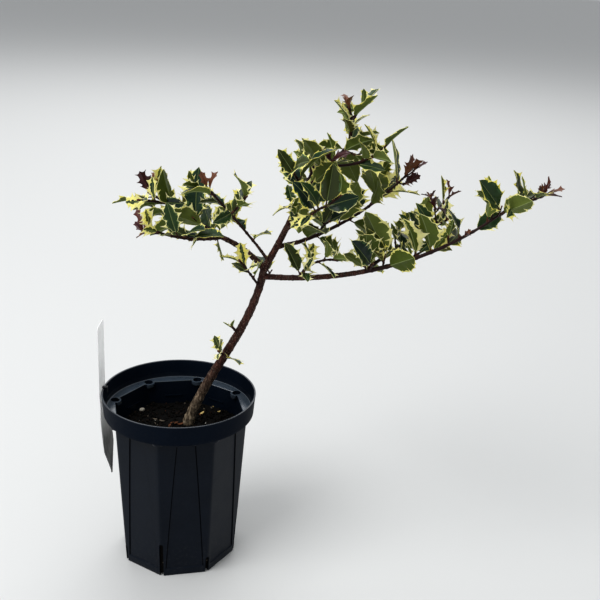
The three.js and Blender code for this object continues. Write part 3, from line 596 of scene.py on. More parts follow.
class Plant:
    """Limbs, shoots and leaves where the part's source has them, then the finer spurs."""

    def __init__(self):
        self.limbs = {}
        self.shoots = {}
        self.twigs = []
        self.placed = []
        wood = []
        for name, row in LIMBS.items():
            parent, at, heading, rise, veer, lift, length, sway, root, tip = row
            start = place_at(self.limbs[parent], at) if parent else TRUNK_FOOT
            self.limbs[name] = grow_line(start, heading, rise, veer, lift, length, sway)
            wood.append(self.marks(self.limbs[name], root, tip))
        for mass, (parent, at, rows) in MASSES.items():
            lines = self.shoots[mass] = []
            for on, place, heading, rise, veer, lift, length, radius, *_ in rows:
                start = place_at(self.limbs[parent], at) if on is None else place_at(lines[on], place)
                lines.append(grow_line(start, heading, rise, veer, lift, length))
                wood.append(self.marks(lines[-1], radius, SHOOT_TIP_RADIUS))
        self.wood = np.concatenate(wood)
        for mass, (_, _, rows) in MASSES.items():
            for line, row in zip(self.shoots[mass], rows):
                self.twigs.append(self.twig(mass, line, row, LEAF_CLEAR, False))
        for host, rows in SPURS.items():
            for on, place, seed, kind in rows:
                line = self.limbs[host] if on is None else self.shoots[host][on]
                self.twigs += self.grow_spur(host, line, place, seed, kind)

    def grow_spur(self, host, line, place, seed, kind):
        """A short leafy side twig by the same rule, or nothing where it has no room."""
        draw = Draw(seed)
        turn = draw.between(0, 360)
        spread = math.radians(draw.between(*SPUR_SPREAD))
        length = draw.between(*SPUR_LENGTH)
        size = (LONE_LEAF if kind == LONE else SPUR_LEAF) * draw.between(*SPUR_SIZE)
        leaves = 1 if kind == LONE else int(draw.between(*SPUR_LEAVES))
        root, axis = place_at(line, place), axis_at(line, place)
        out = round_axis(axis, turn)
        way = unit(axis * math.cos(spread) + out * math.sin(spread) + UP * SPUR_UP)
        heading, rise = math.degrees(math.atan2(way[1], way[0])), math.degrees(math.asin(way[2]))
        shape = (heading, rise, 0, SPUR_LIFT, length)
        spur = grow_line(root, *shape)
        if not self.line_has_room(spur):
            return []
        young = leaves if kind == REDDISH else 0
        row = (None, place, *shape, SPUR_RADIUS, size, SPUR_BARE, young, [(leaves, seed + 1)])
        twig = self.twig(host, spur, row, SPUR_LEAF_CLEAR, True)
        if not twig["leaves"]:
            return []
        self.wood = np.vstack([self.wood, self.marks(spur[3:], SPUR_RADIUS, SPUR_TIP_RADIUS)])
        return [twig]

    def twig(self, mass, line, row, clear, spur):
        """A shoot or spur with the leaves that find room on it."""
        leaves = self.shoot_leaves(line, row, clear)
        return {"mass": mass, "line": line, "row": row, "leaves": leaves, "spur": spur}

    def clear_of_leaves(self, points, middle, gap):
        """Whether points keep a gap from each leaf that stands near their middle."""
        return all(
            np.linalg.norm(points[:, None] - theirs[None], axis=2).min() >= gap
            for theirs, centre in self.placed
            if np.linalg.norm(centre - middle) < NEAR_LEAF
        )

    def line_has_room(self, line):
        """Whether a spur's line keeps clear of the leaves and wood that are there."""
        far = line[3:]
        if not self.clear_of_leaves(far, far.mean(0), SPUR_CLEAR):
            return False
        return from_wood(far, self.wood) > SPUR_RADIUS / 2

    @staticmethod
    def marks(line, root, tip):
        """Rows of x, y, z, radius along a limb."""
        shares = np.linspace(0, 1, WOOD_MARKS)
        points = [place_at(line, share) for share in shares]
        return np.column_stack([points, np.linspace(root, tip, WOOD_MARKS)])

    def has_room(self, leaf, marks, clear):
        """Whether a leaf keeps above LOWEST_LEAF, off the wood and clear of other leaves."""
        if marks[:, 2].min() < LOWEST_LEAF:
            return False
        free = marks[np.linalg.norm(marks - leaf["root"], axis=1) > ROOT_ZONE]
        if not len(free):
            return True
        middle = marks.mean(0)
        near = self.wood[np.linalg.norm(self.wood[:, :3] - middle, axis=1) < NEAR_WOOD]
        if len(near) and from_wood(free, near) < WOOD_CLEAR:
            return False
        return self.clear_of_leaves(free, middle, clear)

    def shoot_leaves(self, line, row, clear):
        """A shoot's leaves, flush after flush. A leaf that finds no room is skipped."""
        *_, size, bare, young, flushes = row
        leaves = sum(count for count, _ in flushes)
        grown = leaves - young
        places = grown + 0.5 if young else grown
        kept = []
        first = 0
        for count, seed in flushes:
            draw = Draw(seed)
            phase = draw.between(0, 360)
            for j in range(first, first + count):
                is_young = j >= grown
                share = bare + (1 - bare) * (j + 0.5) / places
                if is_young:
                    share = 1 - YOUNG_STEP * (leaves - 1 - j)
                spread = SPREAD_FOOT + (SPREAD_TIP - SPREAD_FOOT) * share + draw.between(*SPREAD_DRAW)
                length = size * draw.between(*SIZE_DRAW) * (YOUNG_LENGTH if is_young else 1.0)
                bends = [draw.between(*ends) for ends in (ROLL_DRAW, CURL_DRAW, FOLD_DRAW)]
                base = phase + LEAF_TURN * (j - first) + draw.between(*TURN_DRAW)
                root, axis = place_at(line, share), axis_at(line, share)
                for k in range(TRIES):
                    turn = (k + 1) // 2 * TRY_TURN * (1 if k % 2 else -1)
                    leaf = shape_leaf(root, axis, base + turn, spread, length, *bends, is_young)
                    marks = blade_marks(leaf)
                    if self.has_room(leaf, marks, clear):
                        leaf["share"] = share
                        kept.append(leaf)
                        self.placed.append((marks, marks.mean(0)))
                        break
            first += count
        return kept


# ------------------------------------------------------------------ round limbs


def smooth_place(line, share):
    """A place on the smooth curve through a line's points."""
    i, t = stretch_at(line, share)
    a, b = line[i], line[i + 1]
    before = line[i - 1] if i else 2 * a - b
    after = line[i + 2] if i + 2 < len(line) else 2 * b - a
    squared = 2 * before - 5 * a + 4 * b - after
    cubed = 3 * a - before - 3 * b + after
    return 0.5 * (2 * a + (b - before) * t + squared * t**2 + cubed * t**3)


def ring_frames(points):
    """Two directions square to the curve at each of its points, carried without twist."""
    tangents = np.gradient(points, axis=0)
    tangents /= np.linalg.norm(tangents, axis=1)[:, None]
    first = []
    last = np.array([0.0, 1.0, 0.0]) if abs(tangents[0][1]) < 0.9 else np.array([1.0, 0.0, 0.0])
    for tangent in tangents:
        last = unit(last - np.dot(last, tangent) * tangent)
        first.append(last)
    first = np.array(first)
    return first, np.cross(tangents, first)


def add_tube(piece, points, radii, sides, kind, relief=None):
    """A closed tube along points. relief gives the mm outward at a grid of places."""
    across, upward = ring_frames(points)
    angles = np.arange(sides) * 2 * math.pi / sides
    circle = np.cos(angles)[:, None, None] * across + np.sin(angles)[:, None, None] * upward
    circle = circle.transpose(1, 0, 2)
    radii = np.repeat(np.asarray(radii)[:, None], sides, axis=1)
    if relief:
        radii = radii + relief(points[:, None] + circle * radii[..., None])
    rings = points[:, None] + circle * radii[..., None]
    rows = len(points)
    middle = rows * sides
    body = np.concatenate([rings.reshape(-1, 3), points[:1], points[-1:]])
    faces = grid_faces(rows, sides)
    faces += [(middle, (j + 1) % sides, j) for j in range(sides)]
    top = (rows - 1) * sides
    faces += [(middle + 1, top + j, top + (j + 1) % sides) for j in range(sides)]
    piece.add(body, faces, kind)


def bark_relief(depth, width, along, foot_depth=0.0):
    """Rough bark: noise stretched along the trunk, as mm outward for a grid of places. It is
    deeper by foot_depth at the soil and fades to depth ROUGH_FOOT above it."""

    def relief(ground):
        flat = ground.reshape(-1, 3)
        places = flat / [width, width, along]
        high = [noise.fractal(Vector(place), 0.9, 2.1, 4) for place in places]
        foot = 1 - smooth_step(flat[:, 2], SOIL_TOP, SOIL_TOP + ROUGH_FOOT)
        return ((depth + foot_depth * foot) * np.array(high)).reshape(ground.shape[:2])

    return relief


def node_rings(length, spacing, height, seed):
    """Swellings at old leaf scars along a limb, as mm added to the radius at each mm along."""
    draw = Draw(seed)
    centres = []
    at = spacing * draw.between(0.4, 0.9)
    while at < length:
        centres.append((at, height * draw.between(0.5, 1.2)))
        at += spacing * draw.between(0.6, 1.4)

    def swell(along):
        return sum(h * np.exp(-(((along - c) / 0.9) ** 2)) for c, h in centres) + 0 * along

    return swell


def limb_points(line, steps, before=0.0, after=0.0):
    """Points along a limb's smooth curve, drawn out in mm at its foot and its tip."""
    points = np.array([smooth_place(line, i / steps) for i in range(steps + 1)])
    points[0] -= before * axis_at(line, 0.0)
    points[-1] += after * axis_at(line, 1.0)
    return points


def make_trunk(plant):
    """The stem with its root flare, old leaf scars and bark, sunk into the soil."""
    *_, length, _, root, tip = LIMBS["trunk"]
    steps = 300
    share = np.arange(steps + 1) / steps
    along = share * length
    radii = root + (tip - root) * share**TRUNK_TAPER + FLARE * np.exp(-along / FLARE_HEIGHT)
    radii += node_rings(length, spacing=12.0, height=0.28, seed=5)(along)
    piece = Piece("trunk_bark", [bark_material("bark_trunk", low=146, high=200)])
    points = limb_points(plant.limbs["trunk"], steps, before=4.0)
    rough = bark_relief(depth=0.5, width=2.2, along=7.0, foot_depth=0.45)
    add_tube(piece, points, radii, sides=36, kind=0, relief=rough)
    piece.make(180, ["trunk"])


def make_boughs(plant):
    """The main boughs, each swelling where it leaves its parent."""
    names = [name for name in LIMBS if name != "trunk"]
    piece = Piece("boughs_bark", [bark_material("bark_boughs", low=60, high=200)])
    for i, name in enumerate(names):
        *_, length, _, root, tip = LIMBS[name]
        steps = max(12, int(length * 1.6))
        share = np.arange(steps + 1) / steps
        along = share * length
        radii = root + (tip - root) * share + 0.9 * np.exp(-along / 3.0)
        radii += node_rings(length, spacing=10.0, height=0.22, seed=11 + i)(along)
        points = limb_points(plant.limbs[name], steps, after=0.6)
        rough = bark_relief(depth=0.22, width=1.6, along=5.0)
        add_tube(piece, points, radii, sides=18, kind=0, relief=rough)
    piece.make(180, names)


def make_twigs(plant):
    """All shoots and spurs, with a swelling under each leaf and a bud at each tip and axil."""
    twigs = Piece("twigs", [leaf_material("twig_bark", TWIG_BROWN, 0.5, grain=1.2, depth=0.25)])
    buds = Piece("buds", several("bud_scales", YOUNG_REDS[1:] + [BUD_GREEN], 0.5))
    draw = Draw(77)
    rough = bark_relief(depth=0.12, width=1.2, along=3.0)
    for twig in plant.twigs:
        line, leaves = twig["line"], twig["leaves"]
        length, radius = twig["row"][6], twig["row"][7]
        tip_radius = SPUR_TIP_RADIUS if twig["spur"] else TWIG_TIP_RADIUS
        steps = max(8, int(length * 1.2))
        share = np.arange(steps + 1) / steps
        radii = radius + (tip_radius - radius) * share
        for leaf in leaves:
            radii += 0.4 * np.exp(-(((share - leaf["share"]) * length / 1.1) ** 2))
        points = limb_points(line, steps)
        add_tube(twigs, points, radii, sides=10, kind=0, relief=rough)
        add_bud(buds, points[-1], axis_at(line, 1.0), TIP_BUD, 1.3 * tip_radius, draw)
        for leaf in leaves:
            way = unit(leaf["direction"] + axis_at(line, leaf["share"]))
            foot = leaf["root"] + way * (radius * 0.6 + 0.4)
            add_bud(buds, foot, way, draw.between(*SIDE_BUD), SIDE_BUD_RADIUS, draw)
    twigs.make(180, list(MASSES))
    buds.make(180)


def add_bud(piece, foot, axis, length, radius, draw):
    """A pointed bud, red or green by draw."""
    share = np.linspace(0, 1, 7)
    points = foot + share[:, None] * axis * length
    radii = radius * np.sin(np.pi * (0.12 + 0.86 * share)) ** 0.8
    kind = int(draw.between(0, 2.99))
    add_tube(piece, points, np.maximum(radii, 0.05), sides=8, kind=kind)


# ------------------------------------------------------------------ leaves

UPPER, GREY, UNDER, CREAM, UNDER_CREAM, RIB, YOUNG = range(7)
LARGE_LEAF = 34.0

# One spine's stretch of the edge: place in the stretch, height of the spine there and how
# deep the bay between spines is there.
SPINE_ROWS = (
    (0.00, 0.0, 1.0),
    (0.20, 0.02, 0.88),
    (0.38, 0.14, 0.60),
    (0.52, 0.42, 0.30),
    (0.63, 1.0, 0.0),
    (0.71, 0.34, 0.42),
    (0.84, 0.05, 0.85),
)
SPINES_FROM, SPINES_TO, SPINE_PEAK = 0.12, 0.94, 0.62
SPINE_EVERY, FEWEST_SPINES, MOST_SPINES = 13.0, 2, 5
THICKNESS, QUILT = 0.011, 0.008  # shares of the leaf's length
FOOT_HALF, RIB_HALF, RIB_SUNK = 0.45, 0.42, 0.35

# The edges of large and of small leaves: depth of the bays, length of the spines, raggedness
# of the margin's inner line, where it runs, the chances of a broad margin and of a tongue of
# cream, and how near the edge the green may come.
LARGE_EDGE = ((0.16, 0.32), (0.05, 0.085), 0.07, (0.86, 0.97), 0.03, 0.06, 0.94)
SMALL_EDGE = ((0.26, 0.44), (0.07, 0.12), 0.11, (0.80, 0.96), 0.30, 0.10, 0.92)
SMOOTH_CHANCE = 0.28  # of a large leaf to have next to no spines
GREY_CHANCE = 0.34

# Columns of points from the midrib to the edge, and how far each leans towards the tip with
# the spines.
SPINE_LEANS = (0, 0, 0, 0, 0, 0.12, 0.45)
HALF = len(SPINE_LEANS) - 1
WIDTH = 2 * HALF + 1


def leaf_rows(spines):
    """Places along the blade, spine heights and bay depths of its edge, as three lists."""
    rows = [(0.0, 0.0, 0.0), (0.06, 0.0, 0.3)]
    for k in range(spines):
        for share, spike, bay in SPINE_ROWS:
            rows.append((SPINES_FROM + (SPINES_TO - SPINES_FROM) * (k + share) / spines, spike, bay))
    rows += [(0.95, 0.0, 0.9), (1.0, 0.0, 0.0)]
    return [np.array(column) for column in zip(*rows)]


def half_outline(along):
    """Half width of a blade without its spines, as a share of its greatest."""
    return np.sin(np.pi * np.clip(along, 0, 1) ** 0.88) ** 0.74


def ring_kinds(ring, grey):
    """What a face shows above and below: ring is 1 beside the midrib and 6 at the edge."""
    if ring == 1:
        return RIB, RIB
    if ring == 4 and grey:
        return GREY, UNDER
    return (UPPER, UNDER) if ring <= 4 else (CREAM, UNDER_CREAM)


def add_leaf(piece, leaf, kinds, own):
    """A thin closed blade: spiny wavy edge, sunk midrib, cream margin of uneven width."""
    length = leaf["length"]
    large = length > LARGE_LEAF
    edge_rule = LARGE_EDGE if large else SMALL_EDGE
    bays, spikes, ragged, margins, broad_chance, tongue_chance, nearest = edge_rule
    smooth_edge = large and own.random() < SMOOTH_CHANCE
    spines = int(round(length / SPINE_EVERY + own.uniform(0.0, 1.2)))
    spines = min(max(spines, FEWEST_SPINES), MOST_SPINES)
    along, spike, bay = leaf_rows(spines)
    count = len(along)
    half = leaf["width"] / 2
    blade = length - leaf["petiole"]
    thick = THICKNESS * length
    body = 0.96 * half * half_outline(along)
    body[0], body[-1] = FOOT_HALF, 0.0
    bay_depth = 0.05 if smooth_edge else own.uniform(*bays)
    spine_length = length * (0.03 if smooth_edge else own.uniform(*spikes))
    wave = length * (0.02 if smooth_edge else own.uniform(0.03, 0.085))
    margin = own.uniform(*margins)
    if own.random() < broad_chance:
        margin = own.uniform(0.3, 0.5)
    halves = []
    shades = []
    for sign in (-1, 1):
        reach = spike * spine_length * own.uniform(0.6, 1.25, count)
        edge = body * (1 - bay_depth * bay * own.uniform(0.85, 1.15, count)) + reach
        uneven = own.uniform(-ragged, ragged, count)
        uneven[1:] += 0.6 * uneven[:-1]
        tongues = own.random(count) < tongue_chance
        tongue = np.where(tongues, own.uniform(0.15, 0.40, count), 0.0)
        inner = body * (1 - 0.5 * bay_depth) * np.clip(margin + uneven - tongue, 0.12, 1.0)
        inner = np.minimum(inner, nearest * edge)
        rib = np.minimum(RIB_HALF * (1 - 0.6 * along), 0.3 * inner)
        green = inner - rib
        sides = [0 * edge, rib, rib + green * 0.4, rib + green * 0.75, inner, (inner + edge) / 2, edge]
        beat = (along - SPINES_FROM) / (SPINES_TO - SPINES_FROM) * spines - SPINE_PEAK
        lag = 0 if sign > 0 else np.pi * own.uniform(0, 1)
        swing = np.cos(np.pi * beat + lag)
        columns = []
        for side, lean in zip(sides, SPINE_LEANS):
            u = side / max(half, 1e-6)
            quilt = QUILT * length * np.cos(2 * np.pi * (beat + 0.5 * (1 - u))) * u * (1.15 - u)
            forward = np.where(along >= 1, 1.0, along + lean * reach / blade)
            columns.append([sign * side, forward, wave * swing * u**1.6 - quilt])
        columns[0][2] = columns[0][2] - RIB_SUNK * np.sin(np.pi * along) ** 0.5
        halves.append(columns)
        patches = own.random(count) < GREY_CHANCE
        shades.append(patches | np.roll(patches, 1))
    columns = halves[0][::-1] + halves[1][1:]
    side, forward, lift = (np.array(numbers).T for numbers in zip(*columns))
    shell = np.sin(np.pi * np.linspace(0, 1, WIDTH)) ** 0.5 * thick / 2
    top = blade_points(leaf, forward, side, lift + shell)
    low = blade_points(leaf, forward, side, lift - shell - 0.3 * (np.arange(WIDTH) == HALF))
    # The two outermost columns are the sharp edge that both skins share.
    points = np.concatenate([top.reshape(-1, 3), low[:, 1:-1].reshape(-1, 3)])
    upper = np.arange(count * WIDTH).reshape(count, WIDTH)
    under = upper.copy()
    under[:, 1:-1] = upper.size + np.arange(count * (WIDTH - 2)).reshape(count, WIDTH - 2)
    upper, under = upper.tolist(), under.tolist()
    faces = []
    tones = []
    for i in range(count - 1):
        for j in range(WIDTH - 1):
            ring = HALF - j if j < HALF else j - HALF + 1
            over, below = (YOUNG, YOUNG) if leaf["young"] else ring_kinds(ring, shades[j >= HALF][i])
            faces.append((upper[i][j], upper[i][j + 1], upper[i + 1][j + 1], upper[i + 1][j]))
            faces.append((under[i][j], under[i + 1][j], under[i + 1][j + 1], under[i][j + 1]))
            tones += [kinds[over], kinds[below]]
    # The blade's foot is closed where the stalk enters it.
    foot = upper[0] + under[0][-2:0:-1]
    faces.append(tuple(reversed(foot)))
    tones.append(kinds[RIB])
    piece.add(points, faces, tones)


# The piece that a mass's leaves are in, where it isn't leaves_right.
LEAVES_TOP = ("foliage_top", "foliage_crown_left", "foliage_leader_low")
LEAVES_LEFT = ("foliage_left", "foliage_far_left", "foliage_upright_left", "foliage_low_left")
LEAVES_LEFT += ("foliage_front", "foliage_back")


def leaf_piece(mass):
    if mass in LEAVES_TOP:
        return "leaves_top"
    return "leaves_left" if mass in LEAVES_LEFT else "leaves_right"


def add_stalk(piece, leaf, kind):
    """A leaf's stalk, from its twig into the foot of its blade."""
    share = np.linspace(0, 1, 6)
    points = leaf["root"] + share[:, None] * leaf["direction"] * (leaf["petiole"] + 0.8)
    radii = np.linspace(0.85, 0.52, 6) * (0.8 if leaf["length"] < SMALL_STALK else 1.0)
    add_tube(piece, points, radii, sides=8, kind=kind)


def make_leaves(plant):
    """All leaves and their stalks. Each leaf draws one of every kind of colour."""
    upper = several("leaf_upper_green", UPPER_GREENS, 0.36, 0.08)
    grey = several("leaf_grey_green", GREY_GREENS, 0.40, 0.06)
    under = several("leaf_under_green", UNDER_GREENS, 0.52, gloss=0.1)
    cream = several("leaf_cream_margin", CREAMS, 0.45, glow=0.5)
    under_cream = several("leaf_under_margin", UNDER_CREAMS, 0.55, gloss=0.1, glow=0.5)
    rib = [leaf_material("leaf_midrib", MIDRIB, 0.45)]
    young = several("leaf_young_red", YOUNG_REDS, 0.36, 0.15)
    tables = [upper, grey, under, cream, under_cream, rib, young]
    materials = [material for table in tables for material in table]
    starts = np.cumsum([0] + [len(table) for table in tables])
    brownish = starts[UNDER] + len(under) - 1
    stalks = Piece("leaf_stalks", several("stalk_skin", STALK_TINTS, 0.5))
    own = np.random.default_rng(4)
    for name in ("leaves_top", "leaves_left", "leaves_right"):
        piece = Piece(name, materials)
        twigs = [twig for twig in plant.twigs if leaf_piece(twig["mass"]) == name]
        for leaf in [leaf for twig in twigs for leaf in twig["leaves"]]:
            kinds = [int(start + own.integers(len(table))) for start, table in zip(starts, tables)]
            if leaf["length"] > LARGE_LEAF and kinds[UNDER] == brownish:
                kinds[UNDER] -= 1
            add_leaf(piece, leaf, kinds, own)
            add_stalk(stalks, leaf, int(leaf["young"] or own.random() < 0.4))
        piece.make(70)
    stalks.make(180)


# ------------------------------------------------------------------ pot


def corner_radius(z):
    """How far the pot's corners are from its axis at height z."""
    return CORNER_FOOT + (CORNER_TOP - CORNER_FOOT) * min(z, BODY_TOP) / BODY_TOP


def face_stations(z):
    """Distances from a face's middle at which the wall has a column of points, and the
    panel's depth at each."""
    flat = corner_radius(z) * math.cos(HALF_FACE)
    edge = flat * math.tan(HALF_FACE)
    climb = min(max((z - PANEL_LOW) / (PANEL_HIGH - PANEL_LOW), 0), 1)
    share = PANEL_FOOT + (PANEL_TOP - PANEL_FOOT) * climb
    half = edge * share
    inside = PANEL_LOW + PANEL_BEVEL < z < PANEL_HIGH - PANEL_BEVEL
    near_corner = [edge - CORNER_ROUND, edge - 0.4 * CORNER_ROUND, edge]
    between = np.linspace(half + PANEL_BEVEL, edge - CORNER_ROUND, 5)[:-1]
    stations = [0, half * 0.35, half * 0.7, half - PANEL_BEVEL, *between, *near_corner]
    depths = [PANEL_DEPTH if inside else 0.0] * 4 + [0.0] * 7
    return flat, edge, stations, depths


def wall_ring(z, inset, panels):
    """One ring of the eight-sided wall at height z, its corners rounded."""
    flat, edge, stations, depths = face_stations(z)
    half_ring = list(zip(stations, depths))
    across = [(-x, d) for x, d in reversed(half_ring[1:])] + half_ring[:-1]
    ring = []
    for k in range(CORNERS):
        turn = math.radians(CORNER_TURN) + 2 * HALF_FACE * (k + 0.5)
        for x, depth in across:
            out = flat - inset - (depth if panels else 0.0)
            near = abs(x) - (edge - CORNER_ROUND)
            pull = CORNER_PULL * max(0.0, near / CORNER_ROUND) ** 2
            x_in = x * (flat - inset) / flat
            p = np.array([x_in, -(out - pull * 0.6)])
            p -= pull * 0.4 * p / np.linalg.norm(p)
            c, s = math.cos(turn), math.sin(turn)
            ring.append((c * p[0] - s * p[1], s * p[0] + c * p[1], z))
    return np.array(ring)


def round_ring(radius, z, like):
    """A circle with its points at the same angles as another ring's."""
    flat = like[:, :2] / np.linalg.norm(like[:, :2], axis=1)[:, None]
    return np.column_stack([flat * radius, np.full(len(like), z)])


def pot_rings():
    """Rings of the pot's whole skin: up the outside, over the rim and down the inside."""
    rings = [wall_ring(0.0, 6.0, False) * [1, 1, 0]]
    rings.append(wall_ring(0.0, 1.0, False))
    rings.append(wall_ring(0.35, 0.3, False))
    heights = [1.2, 4.0, PANEL_LOW - 0.5, PANEL_LOW + 0.6, *np.linspace(16, 140, 16), PANEL_HIGH - 0.6]
    heights += [PANEL_HIGH + 0.5, 151.5, BODY_TOP - LEDGE - 0.6]
    for z in heights:
        rings.append(wall_ring(z, 0.0, True))
    top = wall_ring(BODY_TOP - LEDGE, 0.0, False)
    rings.append(0.5 * top + 0.5 * round_ring(72.0, BODY_TOP - LEDGE, top))
    band = [
        (72.4, BODY_TOP - LEDGE),
        (73.0, BODY_TOP - LEDGE + 0.15),
        (73.25, BODY_TOP - LEDGE + 0.7),
        (73.4, 158.0),
        (74.0, 165.0),
        (74.6, 172.0),
        (74.9, 173.9),
        (RIM_RADIUS, 174.5),
        (74.85, 174.9),
        (74.5, POT_HEIGHT),
        (73.9, POT_HEIGHT),
        (73.55, 174.85),
        (73.35, 174.4),
        (72.9, 169.0),
        (72.2, 162.0),
        (71.8, 158.2),
        (71.5, 157.4),
        (71.0, BODY_TOP + 0.05),
    ]
    rings += [round_ring(radius, z, top) for radius, z in band]
    inner = wall_ring(BODY_TOP, WALL, False)
    rings.append(0.5 * inner + 0.5 * round_ring(70.5, BODY_TOP, inner))
    rings.append(wall_ring(BODY_TOP, WALL - 0.5, False))
    rings.append(wall_ring(BODY_TOP - 0.5, WALL, False))
    for z in (150.0, 142.0, 134.0, 100.0, 60.0, 20.0, FLOOR + 0.6):
        rings.append(wall_ring(z, WALL, False))
    rings.append(wall_ring(FLOOR, WALL + 0.8, False))
    rings.append(wall_ring(FLOOR, 20.0, False))
    return rings


def cutter(name, shapes):
    """One object of several closed shapes in mm, to cut or add in a Boolean."""
    mesh = bpy.data.meshes.new(name)
    points, faces = [], []
    for shape_points, shape_faces in shapes:
        base = len(points)
        points += [tuple(p) for p in np.asarray(shape_points) * MM]
        faces += [tuple(i + base for i in face) for face in shape_faces]
    mesh.from_pydata(points, [], faces)
    return put(name, mesh)


def turned(points, degrees):
    """Points at the front of the pot, turned about its axis."""
    a = math.radians(degrees)
    matrix = np.array([[math.cos(a), -math.sin(a), 0], [math.sin(a), math.cos(a), 0], [0, 0, 1]])
    return np.asarray(points, float) @ matrix.T


def block(low, high):
    """A box between two corners."""
    xs, ys, zs = zip(low, high)
    points = [(x, y, z) for z in zs for y in ys for x in xs]
    faces = [(0, 2, 3, 1), (4, 5, 7, 6), (0, 1, 5, 4), (2, 6, 7, 3), (0, 4, 6, 2), (1, 3, 7, 5)]
    return np.array(points, float), faces


def turned_post(profile, centre, sides=28):
    """A closed round post from (radius, height) pairs, standing at centre."""
    angles = np.arange(sides) * 2 * math.pi / sides
    xs, ys = np.cos(angles), np.sin(angles)
    return stacked(
        [np.column_stack([centre[0] + r * xs, centre[1] + r * ys, np.full(sides, z)]) for r, z in profile]
    )


def corner_turn(k):
    """Degrees from the pot's front to its corner k; k + 0.5 is the middle of a face."""
    return CORNER_TURN + 360 / CORNERS * k


LOBE_PLACES = [turned([(0, -LOBE_CENTRE, 0)], corner_turn(k))[0] for k in range(CORNERS)]


def apply_boolean(target, tool, operation):
    """Adds a tool to a target or cuts it away, and removes the tool."""
    step = target.modifiers.new(operation, "BOOLEAN")
    step.operation = operation
    step.solver = "EXACT"
    step.object = tool
    graph = bpy.context.evaluated_depsgraph_get()
    cut = bpy.data.meshes.new_from_object(target.evaluated_get(graph))
    target.modifiers.clear()
    old = target.data
    target.data = cut
    bpy.data.meshes.remove(old)
    bpy.data.objects.remove(tool, do_unlink=True)


# Name, sheen, roughness, then the darkest and lightest navy. The ledge's light navy is a painted
# reflection, the rim's lighter navy a painted highlight, and the groove's near black is painted shade.
SATIN, LEDGE_GLOSS_AND_PAINTED_REFLECTION, BAND_MATT, RIM_SHEEN_AND_PAINTED_HIGHLIGHT, GROOVE_PAINTED_SHADE = range(5)
POT_FINISHES = (
    ("pot_plastic_satin", 0.13, 0.37, (0.0020, 0.0050, 0.0110), (0.0034, 0.0070, 0.0145)),
    # Painted reflection: the ledge's navy is far lighter than the body's, on top of its real gloss.
    ("pot_plastic_ledge_painted_reflection", 1.0, 0.22, (0.0380, 0.0540, 0.0740), (0.0560, 0.0760, 0.1020)),
    ("pot_plastic_band", 0.04, 0.55, (0.0020, 0.0050, 0.0115), (0.0032, 0.0070, 0.0150)),
    # Painted highlight: the rim's navy is lighter than the body's, besides its real sheen.
    ("pot_plastic_rim_painted_highlight", 0.6, 0.30, (0.0070, 0.0130, 0.0230), (0.0120, 0.0200, 0.0340)),
    # Painted shade: the panels' steps are near black, far darker than the plastic itself.
    ("pot_plastic_groove_painted_shade", 0.02, 0.60, (0.0003, 0.0008, 0.0020), (0.0005, 0.0012, 0.0028)),
)


GROOVE_LEAN, UPRIGHT = (30, 60), 0.3  # degrees off the face's own; share of a normal that is up


def slit_height(k):
    return SLIT_LOW if k % 2 else SLIT_TALL


def slit_cutter(k):
    """An upright bar with a round top, standing through a corner of the pot."""
    half = SLIT_WIDTH / 2
    angles = np.linspace(0, math.pi, 9)
    arch = [(half * math.cos(a), slit_height(k) - half + half * math.sin(a)) for a in angles]
    outline = [(half, -5.0), *arch, (-half, -5.0)]
    points = [(x, y, z) for y in (-RIM_RADIUS, -SLIT_INNER) for x, z in outline]
    count = len(outline)
    faces = [tuple(range(count)), tuple(reversed(range(count, 2 * count)))]
    faces += [(j, j + count, (j + 1) % count + count, (j + 1) % count) for j in range(count)]
    return turned(points, corner_turn(k)), faces


def heading_of(x, y):
    """The way (x, y) points, in degrees from the first corner of the pot."""
    return math.degrees(math.atan2(x, -y)) - CORNER_TURN


def in_groove(face):
    """Whether a face is a step at the edge of a sunk panel."""
    one_face = 360 / CORNERS
    middle = one_face * (heading_of(face.center.x, face.center.y) // one_face + 0.5)
    lean = abs((heading_of(face.normal.x, face.normal.y) - middle + 180) % 360 - 180)
    return GROOVE_LEAN[0] < lean < GROOVE_LEAN[1] and abs(face.normal.z) < UPRIGHT


def pot_finish(face):
    """Which of POT_FINISHES a face has. The ledge, the lobes' fronts and the rim are glossier. They also
    take a lighter navy, a painted reflection on the ledge and the lobes' fronts and a painted highlight
    on the rim, and the panels' steps take near black, painted shade.
    """
    x, y, height = face.center / MM
    radius = math.hypot(x, y)
    # The steps at the sunk panels' edges take near black, painted shade.
    if height < PANEL_HIGH and in_groove(face):
        return GROOVE_PAINTED_SHADE
    # The rim's top takes a lighter navy, a painted highlight.
    if height > POT_HEIGHT - 0.6:
        return RIM_SHEEN_AND_PAINTED_HIGHLIGHT
    # The up-facing ledge, pocket floors and the lobes' fronts take the lighter navy, a painted
    # reflection.
    if BODY_TOP - LOBE_DROP < height < BODY_TOP + 0.8 and radius < LEDGE_RADIUS:
        from_lobe = min(math.hypot(x - c[0], y - c[1]) for c in LOBE_PLACES)
        lobe_front = radius < LOBE_CENTRE - 0.7 * LOBE_RADIUS and abs(from_lobe - LOBE_RADIUS) < 0.5
        if face.normal.z > UPRIGHT or lobe_front:
            return LEDGE_GLOSS_AND_PAINTED_REFLECTION
    return BAND_MATT if height > BODY_TOP - LEDGE - 0.3 and radius > BAND_RADIUS else SATIN


